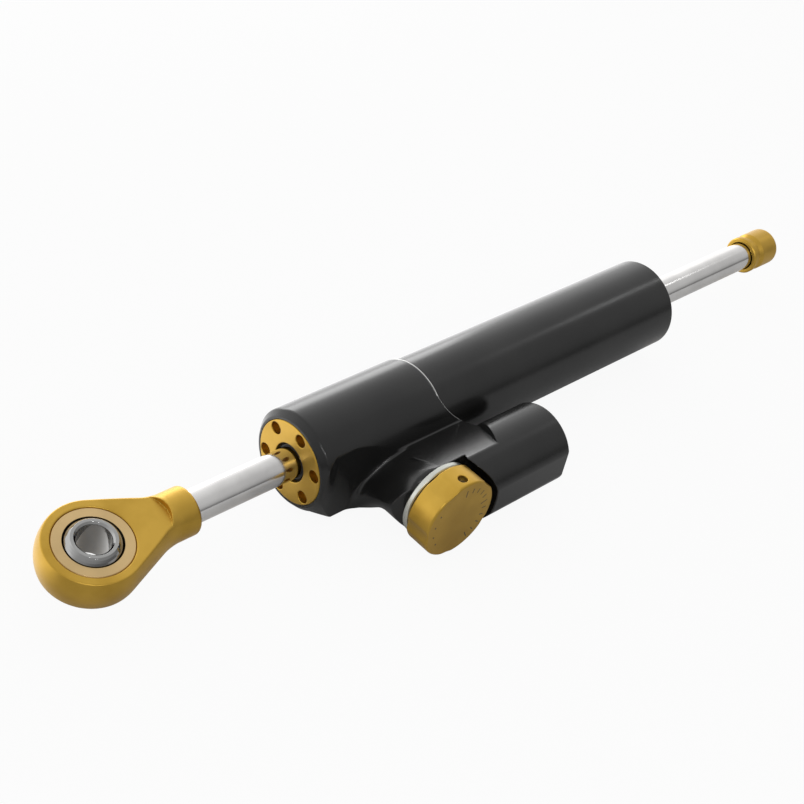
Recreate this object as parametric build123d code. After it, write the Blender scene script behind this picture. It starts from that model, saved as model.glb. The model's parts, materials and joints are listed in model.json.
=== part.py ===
from build123d import *
import os
from math import asin, atan2, cos, degrees, radians, sin, sqrt, tan

# Steering damper for a motorcycle, in millimetres.
# X runs along the piston rod from the rod eye to the stop nut, the adjuster knob looks to -Y and +Z is up.
# The origin is the centre of the rod eye's ball.

# Rod line: what slides
rod_d = 10.0
rod_stud_d = 8.0
rod_chamfer = 0.5
eye_roll = 10.0

# Rod eye and its ball joint
head_d = 30.0
head_width = 11.0
flat_end_r = 7.0
flat_end_x = 23.5
neck_end_x = 22.0
shank_d = 14.8
shank_end_x = 33.6
shank_round = 1.6
stud_depth = 18.0
seat_chamfer = 0.7
race_od = 22.0
race_width = 10.6
race_chamfer = 0.4
ball_d = 19.05
ball_width = 14.0
ball_bore_d = 10.0
ball_chamfer = 0.6
liner_wall = 0.35
ball_clearance = 0.03
race_lip_r = 8.85

# Damper body: main barrel, side chamber and the web between them
barrel_r = 16.2
body_face_x = 69.0
face_ring_width = 0.85
barrel_end_x = 117.0
end_chamfer = 0.6
web_end_x = 124.0
web_sweep = 8.0
web_lead_share = 0.3
chamber_gap = 4.1
chamber_r = 12.9
chamber_end_x = 142.3
chamber_flat_depth = 0.9
chamber_wall = 3.4
web_top_z = 3.7
web_crease = 2.3
web_cut_x = 125.0
web_cut_far_x = 117.5
web_cut_past = 2.0
side_flat_depth = 1.6
scoop_depth = 2.7
scoop_wall_z = 9.0
scoop_wall_lean = 3.4
scoop_start_x = 76.0
scoop_bend_x = 83.0
scoop_end_x = 102.3
scoop_end_depth = 0.3
boss_inset = 1.1
boss_flare_r = 8.5
boss_seat_rise = 0.3
boss_flange = 2.2
ramp_edge_x = 100.5
ramp_angle = 35.0
ramp_round = 16.0
knob_recess_gap = 1.7
tube_relief = 0.3
tube_socket_x = 109.0
annulus_x = 107.0
gallery_r = 1.2
gallery_shift = 1.2
gallery_z = 0.3
gallery_port_x = 112.0
feed_rise = 6.7
feed_z = -2.2
front_port_x = 102.0
front_port_z = -3.2
edge_break = 0.5

# Tube, inner sleeve and piston
tube_r = 15.3
tube_end_x = 230.0
tube_edge = 0.7
tube_land = 0.2
tube_land_end_x = 126.5
tube_step_share = 0.073
tube_wall_share = 0.175
annulus_share = 0.214
sleeve_wall_share = 0.126
sleeve_seat_gap = 0.1
sleeve_port_r = 1.6
sleeve_port_inset = 5.0
sleeve_port_angle = 45.0
sleeve_relief = 0.35
sleeve_relief_inset = 2.5
sleeve_relief_x = 104.0
piston_x = 162.0
piston_length = 14.0
piston_gap = 0.3
band_width_share = 0.57
band_wall_share = 0.33
band_ring_share = 0.25
band_clearance = 0.03
clip_width = 1.1
clip_height = 1.4
clip_groove_depth = 0.6

# End caps, one at the front of the body and one in the tube's rear end
cap_rim = 1.85
cap_proud = 0.2
cap_length = 15.2
cap_flange_share = 0.217
cap_body_share = 0.852
cap_mouth_share = 0.148
cap_edge = 0.35
cap_body_gap = 0.1
cap_seat_gap = 0.1
spanner_holes = 6
spanner_ring_share = 0.698
spanner_hole_share = 0.237
spanner_depth_share = 0.171
spanner_phase = 14.5
rod_clearance = 0.04
lip_gap = 0.3
wiper_share = 0.355
wiper_setback_share = 0.105
wiper_width_share = 0.197
seal_share = 0.426
seal_width_share = 0.21
bush_share = 0.26
bush_width_share = 0.329
gland_wall_share = 0.059
ring_section = 1.6
ring_groove_share = 0.6
ring_inset_share = 0.158

# Stop nut at the rear end of the rod
nut_x = 290.5
nut_end_x = 305.4
nut_r = 6.8
nut_flange = 1.9
nut_waist_r = 5.95
nut_waist = 3.6
nut_round = 1.9
nut_mouth_r = 5.35
nut_mouth = 1.2
stud_rear = 11.0

# Compensator in the side chamber
chamber_bore_x = 112.0
float_x = 119.0
float_length = 8.0
float_cup_depth = 4.5
float_cup_wall = 2.0
float_clearance = 0.04
plug_x = 133.0
plug_length = 6.0
plug_clip_width = 1.2
plug_clip_depth = 0.8
fill_screw_r = 2.5
fill_screw_head_r = 4.0
fill_screw_head = 1.8
fill_screw_length = 5.6
hex_key_share = 0.5

# Damping adjuster on the side of the body
knob_x = 96.3
collar_r = 12.4
collar_bore_r = 8.3
collar_height = 2.0
collar_edge = 0.4
knob_r = 13.3
knob_base_rise = 2.7
knob_face_rise = 11.3
knob_edge = 0.7
knob_flutes = 5
knob_flute_phase = -28.0
knob_flute_r = 9.0
knob_flute_depth = 0.95
knob_cavity_r = 10.4
knob_cavity = 2.4
spindle_r = 2.5
spindle_top_rise = 9.7
spindle_tang_drop = 4.9
spindle_tang_r = 1.2
spindle_flange_r = 3.5
spindle_flange_drop = 1.1
spindle_flange = 2.6
grub_r = 1.5
grub_rise = 8.3
grub_angle = 88.0
grub_socket = 2.5
grub_sink = 1.6
cartridge_r = 4.2
cartridge_head_r = 7.95
cartridge_fit = 0.05
cartridge_base_drop = 6.0
cartridge_neck_drop = 2.1
cartridge_head_rise = 4.1
cartridge_bore_r = 2.5
cartridge_ring_drop = 4.1
cartridge_ring_section = 1.0
needle_clearance = 0.05
needle_top_drop = 2.1
needle_shoulder_drop = 6.3
needle_tip_drop = 9.3
needle_tip_r = 0.3
needle_stem_r = 1.6
needle_socket = 3.4
seat_r = 2.4
seat_drop = 10.0
seat_height = 2.0
seat_orifice_r = 1.2
seat_mouth = 0.8
passage_r = 1.5
detent_ring_r = 6.1
detent_ball_r = 1.0
detent_ball_rise = 4.4
detent_groove = 0.25
detent_hole_fit = 0.06
detent_hole_depth = 5.0
detent_wire = 0.3
detent_turns = 5
detent_spring_gap = 0.3
detent_count = 2

# Shared allowances
fit = 0.05
seal_gap = 0.02
overrun = 2.0

os.makedirs("parts", exist_ok=True)

main_axis = Axis.X
knob_axis = Axis((knob_x, 0, 0), (0, 1, 0))
chamber_offset = barrel_r + chamber_r + chamber_gap
chamber_axis = Axis((0, -chamber_offset, 0), (1, 0, 0))

# Radii between the rod and the tube
rod_r = rod_d / 2
build_up = tube_r - rod_r
tube_socket_r = tube_r - build_up * tube_step_share
annulus_r = tube_r - build_up * tube_wall_share
sleeve_r = annulus_r - build_up * annulus_share
sleeve_bore_r = sleeve_r - build_up * sleeve_wall_share
sleeve_seat_r = sleeve_r + sleeve_seat_gap
tube_land_r = tube_r + tube_land
tube_relief_r = tube_land_r + tube_relief
piston_r = sleeve_bore_r - piston_gap
piston_depth = sleeve_bore_r - band_clearance - rod_r
band_wall = piston_depth * band_wall_share
band_ring_section = piston_depth * band_ring_share
band_width = piston_length * band_width_share
clip_r = rod_r + clip_height

# Radii and lengths of the end caps
cap_r = tube_r - cap_rim
cap_depth = cap_r - rod_r
cap_bore_r = rod_r + cap_depth * cap_body_share
cap_body_r = cap_bore_r - cap_body_gap
cap_mouth_r = rod_r + cap_depth * cap_mouth_share
spanner_ring_r = rod_r + cap_depth * spanner_ring_share
spanner_hole_r = cap_depth * spanner_hole_share
wiper_r = rod_r + cap_depth * wiper_share
seal_r = rod_r + cap_depth * seal_share
bush_r = rod_r + cap_depth * bush_share
cap_flange = cap_length * cap_flange_share
cap_seat_depth = cap_flange + cap_seat_gap
spanner_depth = cap_length * spanner_depth_share
wiper_setback = cap_length * wiper_setback_share
wiper_width = cap_length * wiper_width_share
seal_width = cap_length * seal_width_share
bush_width = cap_length * bush_width_share
gland_wall = cap_length * gland_wall_share
ring_inset = cap_length * ring_inset_share

# Places on the body
face_ring_r = cap_r + face_ring_width
side_flat_y = barrel_r - side_flat_depth
scoop_wall_y = barrel_r - scoop_depth
scoop_end_y = barrel_r - scoop_end_depth
chamber_bore_r = chamber_r - chamber_wall
gallery_y = (barrel_r + chamber_offset - chamber_bore_r) / 2 + gallery_shift
feed_y = chamber_offset - feed_rise
boss_r = chamber_r - boss_inset
boss_seat_y = chamber_offset + boss_seat_rise
knob_recess_r = knob_r + knob_recess_gap
chamber_flat_y = chamber_offset + chamber_r - chamber_flat_depth
web_top_y = sqrt(barrel_r**2 - web_top_z**2)
web_run = chamber_offset + web_crease - web_top_y
web_rise = sqrt(chamber_r**2 - web_crease**2) - web_top_z
web_slope = web_rise / web_run
web_angle = atan2(web_rise, web_run)

# Depths of the adjuster towards -Y
knob_base_y = boss_seat_y + knob_base_rise
knob_face_y = boss_seat_y + knob_face_rise
spindle_top_y = boss_seat_y + spindle_top_rise
spindle_tang_y = boss_seat_y - spindle_tang_drop
spindle_flange_y = boss_seat_y - spindle_flange_drop
grub_y = boss_seat_y + grub_rise
cartridge_base_y = boss_seat_y - cartridge_base_drop
cartridge_neck_y = boss_seat_y - cartridge_neck_drop
cartridge_head_y = boss_seat_y + cartridge_head_rise
cartridge_ring_y = boss_seat_y - cartridge_ring_drop
needle_top_y = boss_seat_y - needle_top_drop
needle_shoulder_y = boss_seat_y - needle_shoulder_drop
needle_tip_y = boss_seat_y - needle_tip_drop
seat_y = boss_seat_y - seat_drop
detent_ball_y = boss_seat_y + detent_ball_rise
passage_base_y = gallery_y - gallery_r / 2

cap_face_x = body_face_x - cap_proud
rear_face_x = tube_end_x + cap_proud
sleeve_start_x = cap_face_x + cap_length
sleeve_end_x = rear_face_x - cap_length


def turned(points, axis=main_axis):
    """A solid turned about an axis from an outline in the XY plane."""
    face = make_face(Polyline(*points, close=True))
    return revolve(face, axis)


def on_main(points):
    """Outline points given as a place along X and a radius, turned about the rod's line."""
    return turned([(x, r) for x, r in points])


def on_chamber(points):
    """The same, turned about the side chamber's line."""
    return turned([(x, r - chamber_offset) for x, r in points], chamber_axis)


def on_knob(points):
    """Outline points given as a radius and a depth towards -Y, turned about the adjuster's line."""
    return turned([(knob_x + r, -depth) for r, depth in points], knob_axis)


def along_x(radius, start, end, y=0, z=0):
    """A round bar from one place on X to another."""
    bar = Cylinder(radius, end - start, align=(Align.CENTER, Align.CENTER, Align.MIN))
    return Pos(start, y, z) * Rot(0, 90, 0) * bar


def along_y(radius, start, end, x=knob_x, z=0):
    """A round bar from one depth towards -Y to a larger one."""
    bar = Cylinder(radius, end - start, align=(Align.CENTER, Align.CENTER, Align.MIN))
    return Pos(x, -start, z) * Rot(90, 0, 0) * bar


def block(low, high):
    """A box between two corners."""
    size = [b - a for a, b in zip(low, high)]
    box = Box(*size, align=(Align.MIN, Align.MIN, Align.MIN))
    return Pos(*low) * box


def seal_ring(centre_r, section, x):
    """A round-section ring about the rod's line."""
    return Pos(x, 0, 0) * Rot(0, 90, 0) * Torus(centre_r, section / 2)


def rolled(shape):
    """Pieces of the rod eye stand rolled about the rod, as the rod can turn in the body."""
    return Rot(eye_roll, 0, 0) * shape


def write(name, shape):
    """One file for each sub-part."""
    export_step(shape, os.path.join("parts", name + ".step"))


# Rod eye

def rod_end():
    """Round head with two flats, a conical neck and a round shank that takes the rod's stud."""
    head_r = head_d / 2
    shank_r = shank_d / 2
    reach = sqrt(neck_end_x**2 + shank_r**2)
    tangent = asin(shank_r / reach) + radians(90) - asin(head_r / reach)
    neck = on_main([
        (0, 0),
        (head_r * cos(tangent), head_r * sin(tangent)),
        (neck_end_x, shank_r),
        (shank_end_x, shank_r),
        (shank_end_x, 0),
    ])
    neck = fillet(neck.edges().filter_by(GeomType.CIRCLE).sort_by(Axis.X)[-1], shank_round)
    body = Sphere(head_r) + neck
    half = head_width / 2
    flat_centre = flat_end_x - flat_end_r
    for side in (-1, 1):
        slab = Box(head_d + flat_centre, head_d, head_r, align=(Align.MAX, Align.CENTER, Align.MIN))
        end = Cylinder(flat_end_r, head_r, align=(Align.CENTER, Align.CENTER, Align.MIN))
        tool = Pos(flat_centre, 0, 0) * slab + Pos(flat_centre, 0, 0) * end
        tool = Pos(0, 0, half) * tool
        if side < 0:
            tool = mirror(tool, Plane.XY)
        body -= tool
    seat = Cylinder(race_od / 2, head_width + overrun)
    below = (Align.CENTER, Align.CENTER, Align.MAX)
    mouth = Cone(race_od / 2, race_od / 2 + seat_chamfer, seat_chamfer, align=below)
    body -= seat
    body -= Pos(0, 0, half) * mouth
    body -= mirror(Pos(0, 0, half) * mouth, Plane.XY)
    body -= along_x(rod_stud_d / 2, shank_end_x - stud_depth, shank_end_x + overrun)
    return rolled(body)


def bearing_race():
    """Outer ring of the ball joint, round inside to the liner."""
    ring = Cylinder(race_od / 2, race_width)
    ring = chamfer(ring.edges().filter_by(GeomType.CIRCLE), race_chamfer)
    hollow_r = ball_d / 2 + ball_clearance + liner_wall
    ring -= Sphere(hollow_r)
    ring -= Cylinder(race_lip_r, race_width + overrun)
    return rolled(ring)


def bearing_liner():
    """Thin low-friction shell between the race and the ball."""
    inner_r = ball_d / 2 + ball_clearance
    shell = Sphere(inner_r + liner_wall - seal_gap) - Sphere(inner_r)
    lip_half = sqrt((inner_r + liner_wall) ** 2 - race_lip_r**2) - race_chamfer
    shell &= Cylinder(ball_d, 2 * lip_half)
    return rolled(shell)


def bearing_ball():
    """Truncated ball with the mounting bore."""
    ball = Sphere(ball_d / 2) & Cylinder(ball_d, ball_width)
    ball -= Cylinder(ball_bore_d / 2, ball_width + overrun)
    below = (Align.CENTER, Align.CENTER, Align.MAX)
    mouth = Cone(ball_bore_d / 2, ball_bore_d / 2 + ball_chamfer, ball_chamfer, align=below)
    ball -= Pos(0, 0, ball_width / 2) * mouth
    ball -= mirror(Pos(0, 0, ball_width / 2) * mouth, Plane.XY)
    return rolled(ball)


# Rod, piston and stop nut

def piston_rod():
    """Polished rod right through the damper, with a stud at each end and two clip grooves."""
    stud_r = rod_stud_d / 2
    stud_front_x = shank_end_x - stud_depth + rod_chamfer
    rear_shoulder_x = nut_x + nut_mouth
    groove_r = rod_r - clip_groove_depth
    half = piston_length / 2
    points = [
        (stud_front_x, 0),
        (stud_front_x, stud_r - rod_chamfer),
        (stud_front_x + rod_chamfer, stud_r),
        (shank_end_x, stud_r),
        (shank_end_x, rod_r),
    ]
    for start in (piston_x - half - clip_width, piston_x + half):
        points += [(start, rod_r), (start, groove_r)]
        points += [(start + clip_width, groove_r), (start + clip_width, rod_r)]
    points += [
        (rear_shoulder_x, rod_r),
        (rear_shoulder_x, stud_r),
        (rear_shoulder_x + stud_rear - rod_chamfer, stud_r),
        (rear_shoulder_x + stud_rear, stud_r - rod_chamfer),
        (rear_shoulder_x + stud_rear, 0),
    ]
    return on_main(points)


def piston():
    """Piston with a groove for its band and a ring of small bleed holes."""
    half = piston_length / 2
    band_half = band_width / 2
    groove_r = sleeve_bore_r - band_clearance - band_wall - band_ring_section - 2 * fit
    outline = [
        (piston_x - half, rod_r),
        (piston_x - half, piston_r - edge_break),
        (piston_x - half + edge_break, piston_r),
        (piston_x - band_half, piston_r),
        (piston_x - band_half, groove_r),
        (piston_x + band_half, groove_r),
        (piston_x + band_half, piston_r),
        (piston_x + half - edge_break, piston_r),
        (piston_x + half, piston_r - edge_break),
        (piston_x + half, rod_r),
    ]
    return on_main(outline)


def piston_band():
    """Slippery band that runs in the sleeve."""
    outer_r = sleeve_bore_r - band_clearance
    half = band_width / 2 - fit
    return on_main([
        (piston_x - half, outer_r - band_wall),
        (piston_x - half, outer_r - edge_break / 2),
        (piston_x - half + edge_break / 2, outer_r),
        (piston_x + half - edge_break / 2, outer_r),
        (piston_x + half, outer_r - edge_break / 2),
        (piston_x + half, outer_r - band_wall),
    ])


def piston_ring():
    """Rubber ring that presses the band outwards."""
    outer_r = sleeve_bore_r - band_clearance - band_wall - fit
    return seal_ring(outer_r - band_ring_section / 2, band_ring_section, piston_x)


def flat_ring(start_x, inner_r, outer_r, width, make):
    """Flat ring of square section that a spring clip is cut from."""
    return make([
        (start_x, inner_r),
        (start_x, outer_r),
        (start_x + width, outer_r),
        (start_x + width, inner_r),
    ])


def piston_clips():
    """Two clips that hold the piston on the rod."""
    half = piston_length / 2
    inner_r = rod_r - clip_groove_depth
    gap_half = inner_r / 2
    clips = []
    for start in (piston_x - half - clip_width, piston_x + half):
        clip = flat_ring(start + fit / 2, inner_r, clip_r, clip_width - fit, on_main)
        far_x = start + clip_width + overrun
        clip -= block((start - overrun, -gap_half, 0), (far_x, gap_half, clip_r + overrun))
        clips.append(clip)
    return Compound(children=clips)


def stop_nut():
    """Gold spool on the rod's rear end: flange, waist and a round-ended barrel."""
    stud_end_x = nut_x + nut_mouth + stud_rear
    waist_x = nut_x + nut_flange
    barrel_x = waist_x + nut_waist
    body = on_main([
        (nut_x, 0),
        (nut_x, nut_r - edge_break),
        (nut_x + edge_break, nut_r),
        (waist_x, nut_r),
        (waist_x + (nut_r - nut_waist_r), nut_waist_r),
        (barrel_x - 2 * (nut_r - nut_waist_r), nut_waist_r),
        (barrel_x, nut_r),
        (nut_end_x, nut_r),
        (nut_end_x, 0),
    ])
    body = fillet(body.edges().filter_by(GeomType.CIRCLE).sort_by(Axis.X)[-1], nut_round)
    body -= along_x(nut_mouth_r, nut_x - overrun, nut_x + nut_mouth)
    body -= along_x(rod_stud_d / 2, nut_x, stud_end_x)
    return body


# Damper body

def web_top(y_depth):
    """Height of the sloped web top at a depth towards -Y."""
    return web_top_z + (y_depth - web_top_y) * web_slope


def web():
    """Web between the barrel and the chamber, from the flat underside to the sloped top."""
    outline = Polyline(
        (0, -chamber_r),
        (-chamber_offset, -chamber_r),
        (-chamber_offset, web_top(chamber_offset)),
        (-web_top_y, web_top_z),
        (0, web_top_z),
        close=True,
    )
    face = Plane.YZ * make_face(outline)
    return Pos(knob_x, 0, 0) * extrude(face, web_end_x - knob_x)


def boss():
    """Round boss of the adjuster, which flares into the barrel's side, cut square below."""
    flare_x = knob_x + boss_r + boss_flare_r
    outline = Polyline(
        (knob_x + boss_r, -(scoop_wall_y + boss_flare_r)),
        (knob_x + boss_r, -boss_seat_y),
        (knob_x, -boss_seat_y),
        (knob_x, 0),
        (flare_x, 0),
        (flare_x, -scoop_wall_y),
    )
    flare_y = scoop_wall_y + boss_flare_r
    flare = RadiusArc((flare_x, -scoop_wall_y), (knob_x + boss_r, -flare_y), -boss_flare_r)
    solid = revolve(make_face(outline + flare), knob_axis)
    return solid & block((body_face_x, -boss_seat_y, -chamber_r), (web_end_x, 0, chamber_r))


def above_web(inner_y):
    """Everything above the sloped plane from one depth outwards."""
    far_y = chamber_offset + chamber_r
    outline = Polyline(
        (-inner_y, web_top(inner_y)),
        (-far_y, web_top(far_y)),
        (-far_y, barrel_r * 2),
        (-inner_y, barrel_r * 2),
        close=True,
    )
    return Pos(body_face_x, 0, 0) * extrude(Plane.YZ * make_face(outline), web_end_x - body_face_x)


def chamber_step():
    """Plan of what is milled off the chamber's top, up to an oblique end."""
    far_y = chamber_offset + chamber_r
    plan = Polyline(
        (body_face_x, 0),
        (web_cut_x, 0),
        (web_cut_x, -(chamber_offset - chamber_r)),
        (web_cut_far_x, -(chamber_offset + web_cut_past)),
        (web_cut_far_x, -far_y),
        (body_face_x, -far_y),
        close=True,
    )
    return Pos(0, 0, -chamber_r) * extrude(make_face(plan), barrel_r * 3)


def ramp():
    """What is milled off in front of the web top: a slope down to the front of the boss."""
    length = boss_seat_y - boss_flange - web_top_y + barrel_r
    outline = Polyline(
        (0, 0),
        (-ramp_round, -ramp_round * tan(radians(ramp_angle))),
        (-ramp_round * 2, -ramp_round * tan(radians(ramp_angle))),
        (-ramp_round * 2, ramp_round),
        (0, ramp_round),
        close=True,
    )
    face = Plane.XZ * make_face(outline)
    tool = Pos(0, barrel_r, 0) * extrude(face, length)
    tool = Rot(-degrees(web_angle), 0, 0) * tool
    return Pos(ramp_edge_x, -web_top_y, web_top_z) * tool


def scoop_wall():
    """What is milled off the barrel's side in front of the boss, down to a leaning wall."""
    reach = chamber_offset
    plan = Polyline(
        (scoop_bend_x, -scoop_wall_y),
        (scoop_start_x, -scoop_wall_y),
        (scoop_start_x, -reach),
        (scoop_end_x, -reach),
        (scoop_end_x, -scoop_end_y),
    ) + Spline(
        (scoop_end_x, -scoop_end_y),
        (scoop_bend_x, -scoop_wall_y),
        tangents=((-1, 0), (-1, 0)),
    )
    tool = extrude(make_face(plan), reach, both=True)
    tool = Pos(0, scoop_wall_y, 0) * tool
    tool = Rot(-scoop_wall_lean, 0, 0) * tool
    return Pos(0, -scoop_wall_y, scoop_wall_z) * tool


def barrel():
    """Main barrel with a square lower corner on the chamber's side, milled in front of the boss."""
    corner = block((body_face_x, -side_flat_y, -chamber_r), (barrel_end_x, -side_flat_y / 2, 0))
    solid = along_x(barrel_r, body_face_x, barrel_end_x) + corner
    low = (body_face_x - overrun, -chamber_offset, -barrel_r)
    solid -= block(low, (scoop_start_x, -side_flat_y, barrel_r))
    return solid - scoop_wall()


def end_bevel():
    """Small bevel on the barrel's rear edge."""
    return on_main([
        (barrel_end_x - end_chamfer, barrel_r + overrun),
        (barrel_end_x - end_chamfer, barrel_r),
        (barrel_end_x, barrel_r - end_chamfer),
        (barrel_end_x + overrun, barrel_r - end_chamfer),
        (barrel_end_x + overrun, barrel_r + overrun),
    ])


def web_collar():
    """Part of the barrel's skin that runs on over the tube's start and sweeps back to the web's end."""
    bar = along_x(barrel_r, barrel_end_x - end_chamfer, web_end_x)
    top_z = web_top(web_top_y)
    start_z = top_z + web_sweep
    profile = Polyline(
        (web_end_x, -top_z),
        (web_end_x, top_z),
    ) + Spline(
        (web_end_x, top_z),
        (barrel_end_x - end_chamfer, start_z),
        tangents=((-1, web_lead_share), (-web_lead_share, 1)),
    ) + Line(
        (barrel_end_x - end_chamfer, start_z),
        (barrel_end_x - end_chamfer, -start_z),
    ) + Spline(
        (barrel_end_x - end_chamfer, -start_z),
        (web_end_x, -top_z),
        tangents=((web_lead_share, 1), (1, web_lead_share)),
    )
    window = extrude(Plane.XZ * make_face(profile), barrel_r)
    return bar & window


def front_bevel():
    """Cone that bevels the body's front edge, the square corner too."""
    reach = chamber_r + barrel_r
    return on_main([
        (body_face_x - overrun, face_ring_r),
        (body_face_x, face_ring_r),
        (body_face_x + reach - face_ring_r, reach),
        (body_face_x - overrun, reach),
    ])


def body_bores():
    """Stepped bore for the front cap, the inner sleeve and the tube."""
    bores = along_x(cap_r + fit, body_face_x - overrun, body_face_x + cap_seat_depth)
    bores += along_x(cap_bore_r, body_face_x, sleeve_start_x)
    bores += along_x(sleeve_seat_r, body_face_x, barrel_end_x)
    bores += along_x(annulus_r, annulus_x, barrel_end_x)
    bores += along_x(tube_socket_r, tube_socket_x, barrel_end_x)
    bores += along_x(tube_relief_r, barrel_end_x, chamber_end_x + overrun)
    return bores


def chamber_bores():
    """Bore of the side chamber with its clip groove."""
    bores = along_x(chamber_bore_r, chamber_bore_x, chamber_end_x + overrun, -chamber_offset)
    groove_x = plug_x + plug_length
    bores += along_x(chamber_bore_r + plug_clip_depth, groove_x, groove_x + plug_clip_width, -chamber_offset)
    return bores


def adjuster_bores():
    """Stepped adjuster bore and the drilled galleries to the sleeve, the annulus and the chamber."""
    return [
        along_y(cartridge_head_r + cartridge_fit, cartridge_neck_y, boss_seat_y + overrun),
        along_y(cartridge_r + cartridge_fit, cartridge_base_y, cartridge_neck_y),
        along_y(seat_r, seat_y, cartridge_base_y),
        along_y(passage_r, passage_base_y, seat_y),
        along_x(gallery_r, knob_x, web_end_x + overrun, -gallery_y, gallery_z),
        along_y(gallery_r, sleeve_seat_r, gallery_y, gallery_port_x, gallery_z),
        along_x(gallery_r, knob_x, chamber_bore_x + overrun, -feed_y, feed_z),
        along_y(gallery_r, sleeve_bore_r, feed_y, front_port_x, front_port_z),
    ]


def damper_body():
    """Machined body: barrel, side chamber, adjuster boss and web in one piece."""
    side = web() + along_x(chamber_r, knob_x, chamber_end_x, -chamber_offset) + boss()
    inside = side & along_x(barrel_r, body_face_x, barrel_end_x)
    side -= above_web(0) & chamber_step()
    side -= ramp()
    past_y = chamber_offset + chamber_r + overrun
    side -= along_y(knob_recess_r, boss_seat_y, past_y)
    side -= block((body_face_x, -past_y, -barrel_r), (chamber_end_x + overrun, -chamber_flat_y, barrel_r))
    side += inside - ramp()
    body = barrel() - end_bevel()
    body += web_collar()
    body += side
    body -= front_bevel()
    body -= body_bores()
    body -= chamber_bores()
    for bore in adjuster_bores():
        body -= bore
    return body


def gallery_plug():
    """Ball that closes the drilled gallery."""
    return Pos(web_end_x - gallery_r * 2, -gallery_y, gallery_z) * Sphere(gallery_r)


# End caps with their rod seals

def cap_points():
    """Outline of an end cap as a distance from its face and a radius."""
    wiper_end = wiper_setback + wiper_width
    seal_start = wiper_end + gland_wall
    seal_end = seal_start + seal_width
    bush_start = cap_length - bush_width
    ring_mid = cap_length - ring_inset
    groove_r = cap_bore_r - ring_section + seal_gap
    lip_r = rod_r + lip_gap
    return [
        (0, cap_mouth_r),
        (0, cap_r - cap_edge),
        (cap_edge, cap_r),
        (cap_flange, cap_r),
        (cap_flange, cap_body_r),
        (ring_mid - ring_section * ring_groove_share, cap_body_r),
        (ring_mid - ring_section * ring_groove_share, groove_r - seal_gap),
        (ring_mid + ring_section * ring_groove_share, groove_r - seal_gap),
        (ring_mid + ring_section * ring_groove_share, cap_body_r),
        (cap_length, cap_body_r),
        (cap_length, bush_r),
        (bush_start, bush_r),
        (bush_start, lip_r),
        (seal_end, lip_r),
        (seal_end, seal_r),
        (seal_start, seal_r),
        (seal_start, lip_r),
        (wiper_end, lip_r),
        (wiper_end, wiper_r),
        (wiper_setback, wiper_r),
        (wiper_setback, cap_mouth_r),
    ]


def from_face(points, face_x, way):
    """Turns an outline measured from a cap's face, which looks to -X at the front and +X at the rear."""
    return on_main([(face_x + way * x, r) for x, r in points])


def end_cap(face_x, way):
    """Screw-in cap with six spanner holes round the rod."""
    cap = from_face(cap_points(), face_x, way)
    for number in range(spanner_holes):
        angle = radians(spanner_phase + 360 * number / spanner_holes)
        y = -spanner_ring_r * cos(angle)
        z = spanner_ring_r * sin(angle)
        low_x, high_x = sorted((face_x - way * overrun, face_x + way * spanner_depth))
        cap -= along_x(spanner_hole_r, low_x, high_x, y, z)
    return cap


def cap_wiper(face_x, way):
    """Wiper in the cap's mouth, with a lip that leans outwards."""
    inner_r = rod_r + rod_clearance
    start = wiper_setback + fit
    end = wiper_setback + wiper_width - fit
    outer_r = wiper_r - seal_gap
    return from_face([
        (start, inner_r),
        (start - wiper_width / 4, inner_r),
        (start - wiper_width / 4, inner_r + gland_wall / 2),
        (start, inner_r + gland_wall),
        (start, outer_r),
        (end, outer_r),
        (end, inner_r + gland_wall),
        (start + wiper_width / 3, inner_r + gland_wall),
        (start + wiper_width / 3, inner_r),
    ], face_x, way)


def cap_seal(face_x, way):
    """Rod seal with a hollow on its pressure side."""
    inner_r = rod_r + rod_clearance
    start = wiper_setback + wiper_width + gland_wall + fit
    end = start + seal_width - 2 * fit
    outer_r = seal_r - seal_gap
    middle_r = (inner_r + outer_r) / 2
    lip = gland_wall / 2
    return from_face([
        (start, inner_r),
        (start, outer_r),
        (end, outer_r),
        (end, middle_r + lip),
        (end - seal_width / 3, middle_r),
        (end, middle_r - lip),
        (end, inner_r),
    ], face_x, way)


def cap_bush(face_x, way):
    """Guide bush for the rod."""
    inner_r = rod_r + rod_clearance
    start = cap_length - bush_width + fit
    return from_face([
        (start, inner_r),
        (start, bush_r - seal_gap),
        (cap_length, bush_r - seal_gap),
        (cap_length, inner_r),
    ], face_x, way)


def cap_ring(face_x, way):
    """Rubber ring round the cap."""
    x = face_x + way * (cap_length - ring_inset)
    return seal_ring(cap_bore_r - ring_section / 2 - seal_gap / 2, ring_section - seal_gap, x)


# Tube and sleeve

def outer_tube():
    """Outer tube, screwed into the body at the front and closed by the rear cap."""
    socket_r = tube_socket_r - seal_gap
    socket_start = tube_socket_x + seal_gap
    seat_x = tube_end_x - cap_seat_depth
    return on_main([
        (socket_start, annulus_r),
        (socket_start, socket_r),
        (barrel_end_x, socket_r),
        (barrel_end_x, tube_r - end_chamfer),
        (barrel_end_x + end_chamfer, tube_land_r),
        (tube_land_end_x, tube_land_r),
        (tube_land_end_x + tube_land, tube_r),
        (tube_end_x - tube_edge, tube_r),
        (tube_end_x, tube_r - tube_edge),
        (tube_end_x, cap_r + fit),
        (seat_x, cap_r + fit),
        (seat_x, cap_bore_r),
        (sleeve_end_x, cap_bore_r),
        (sleeve_end_x, sleeve_seat_r),
        (sleeve_end_x - cap_seat_depth, sleeve_seat_r),
        (sleeve_end_x - cap_seat_depth, annulus_r),
    ])


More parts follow.
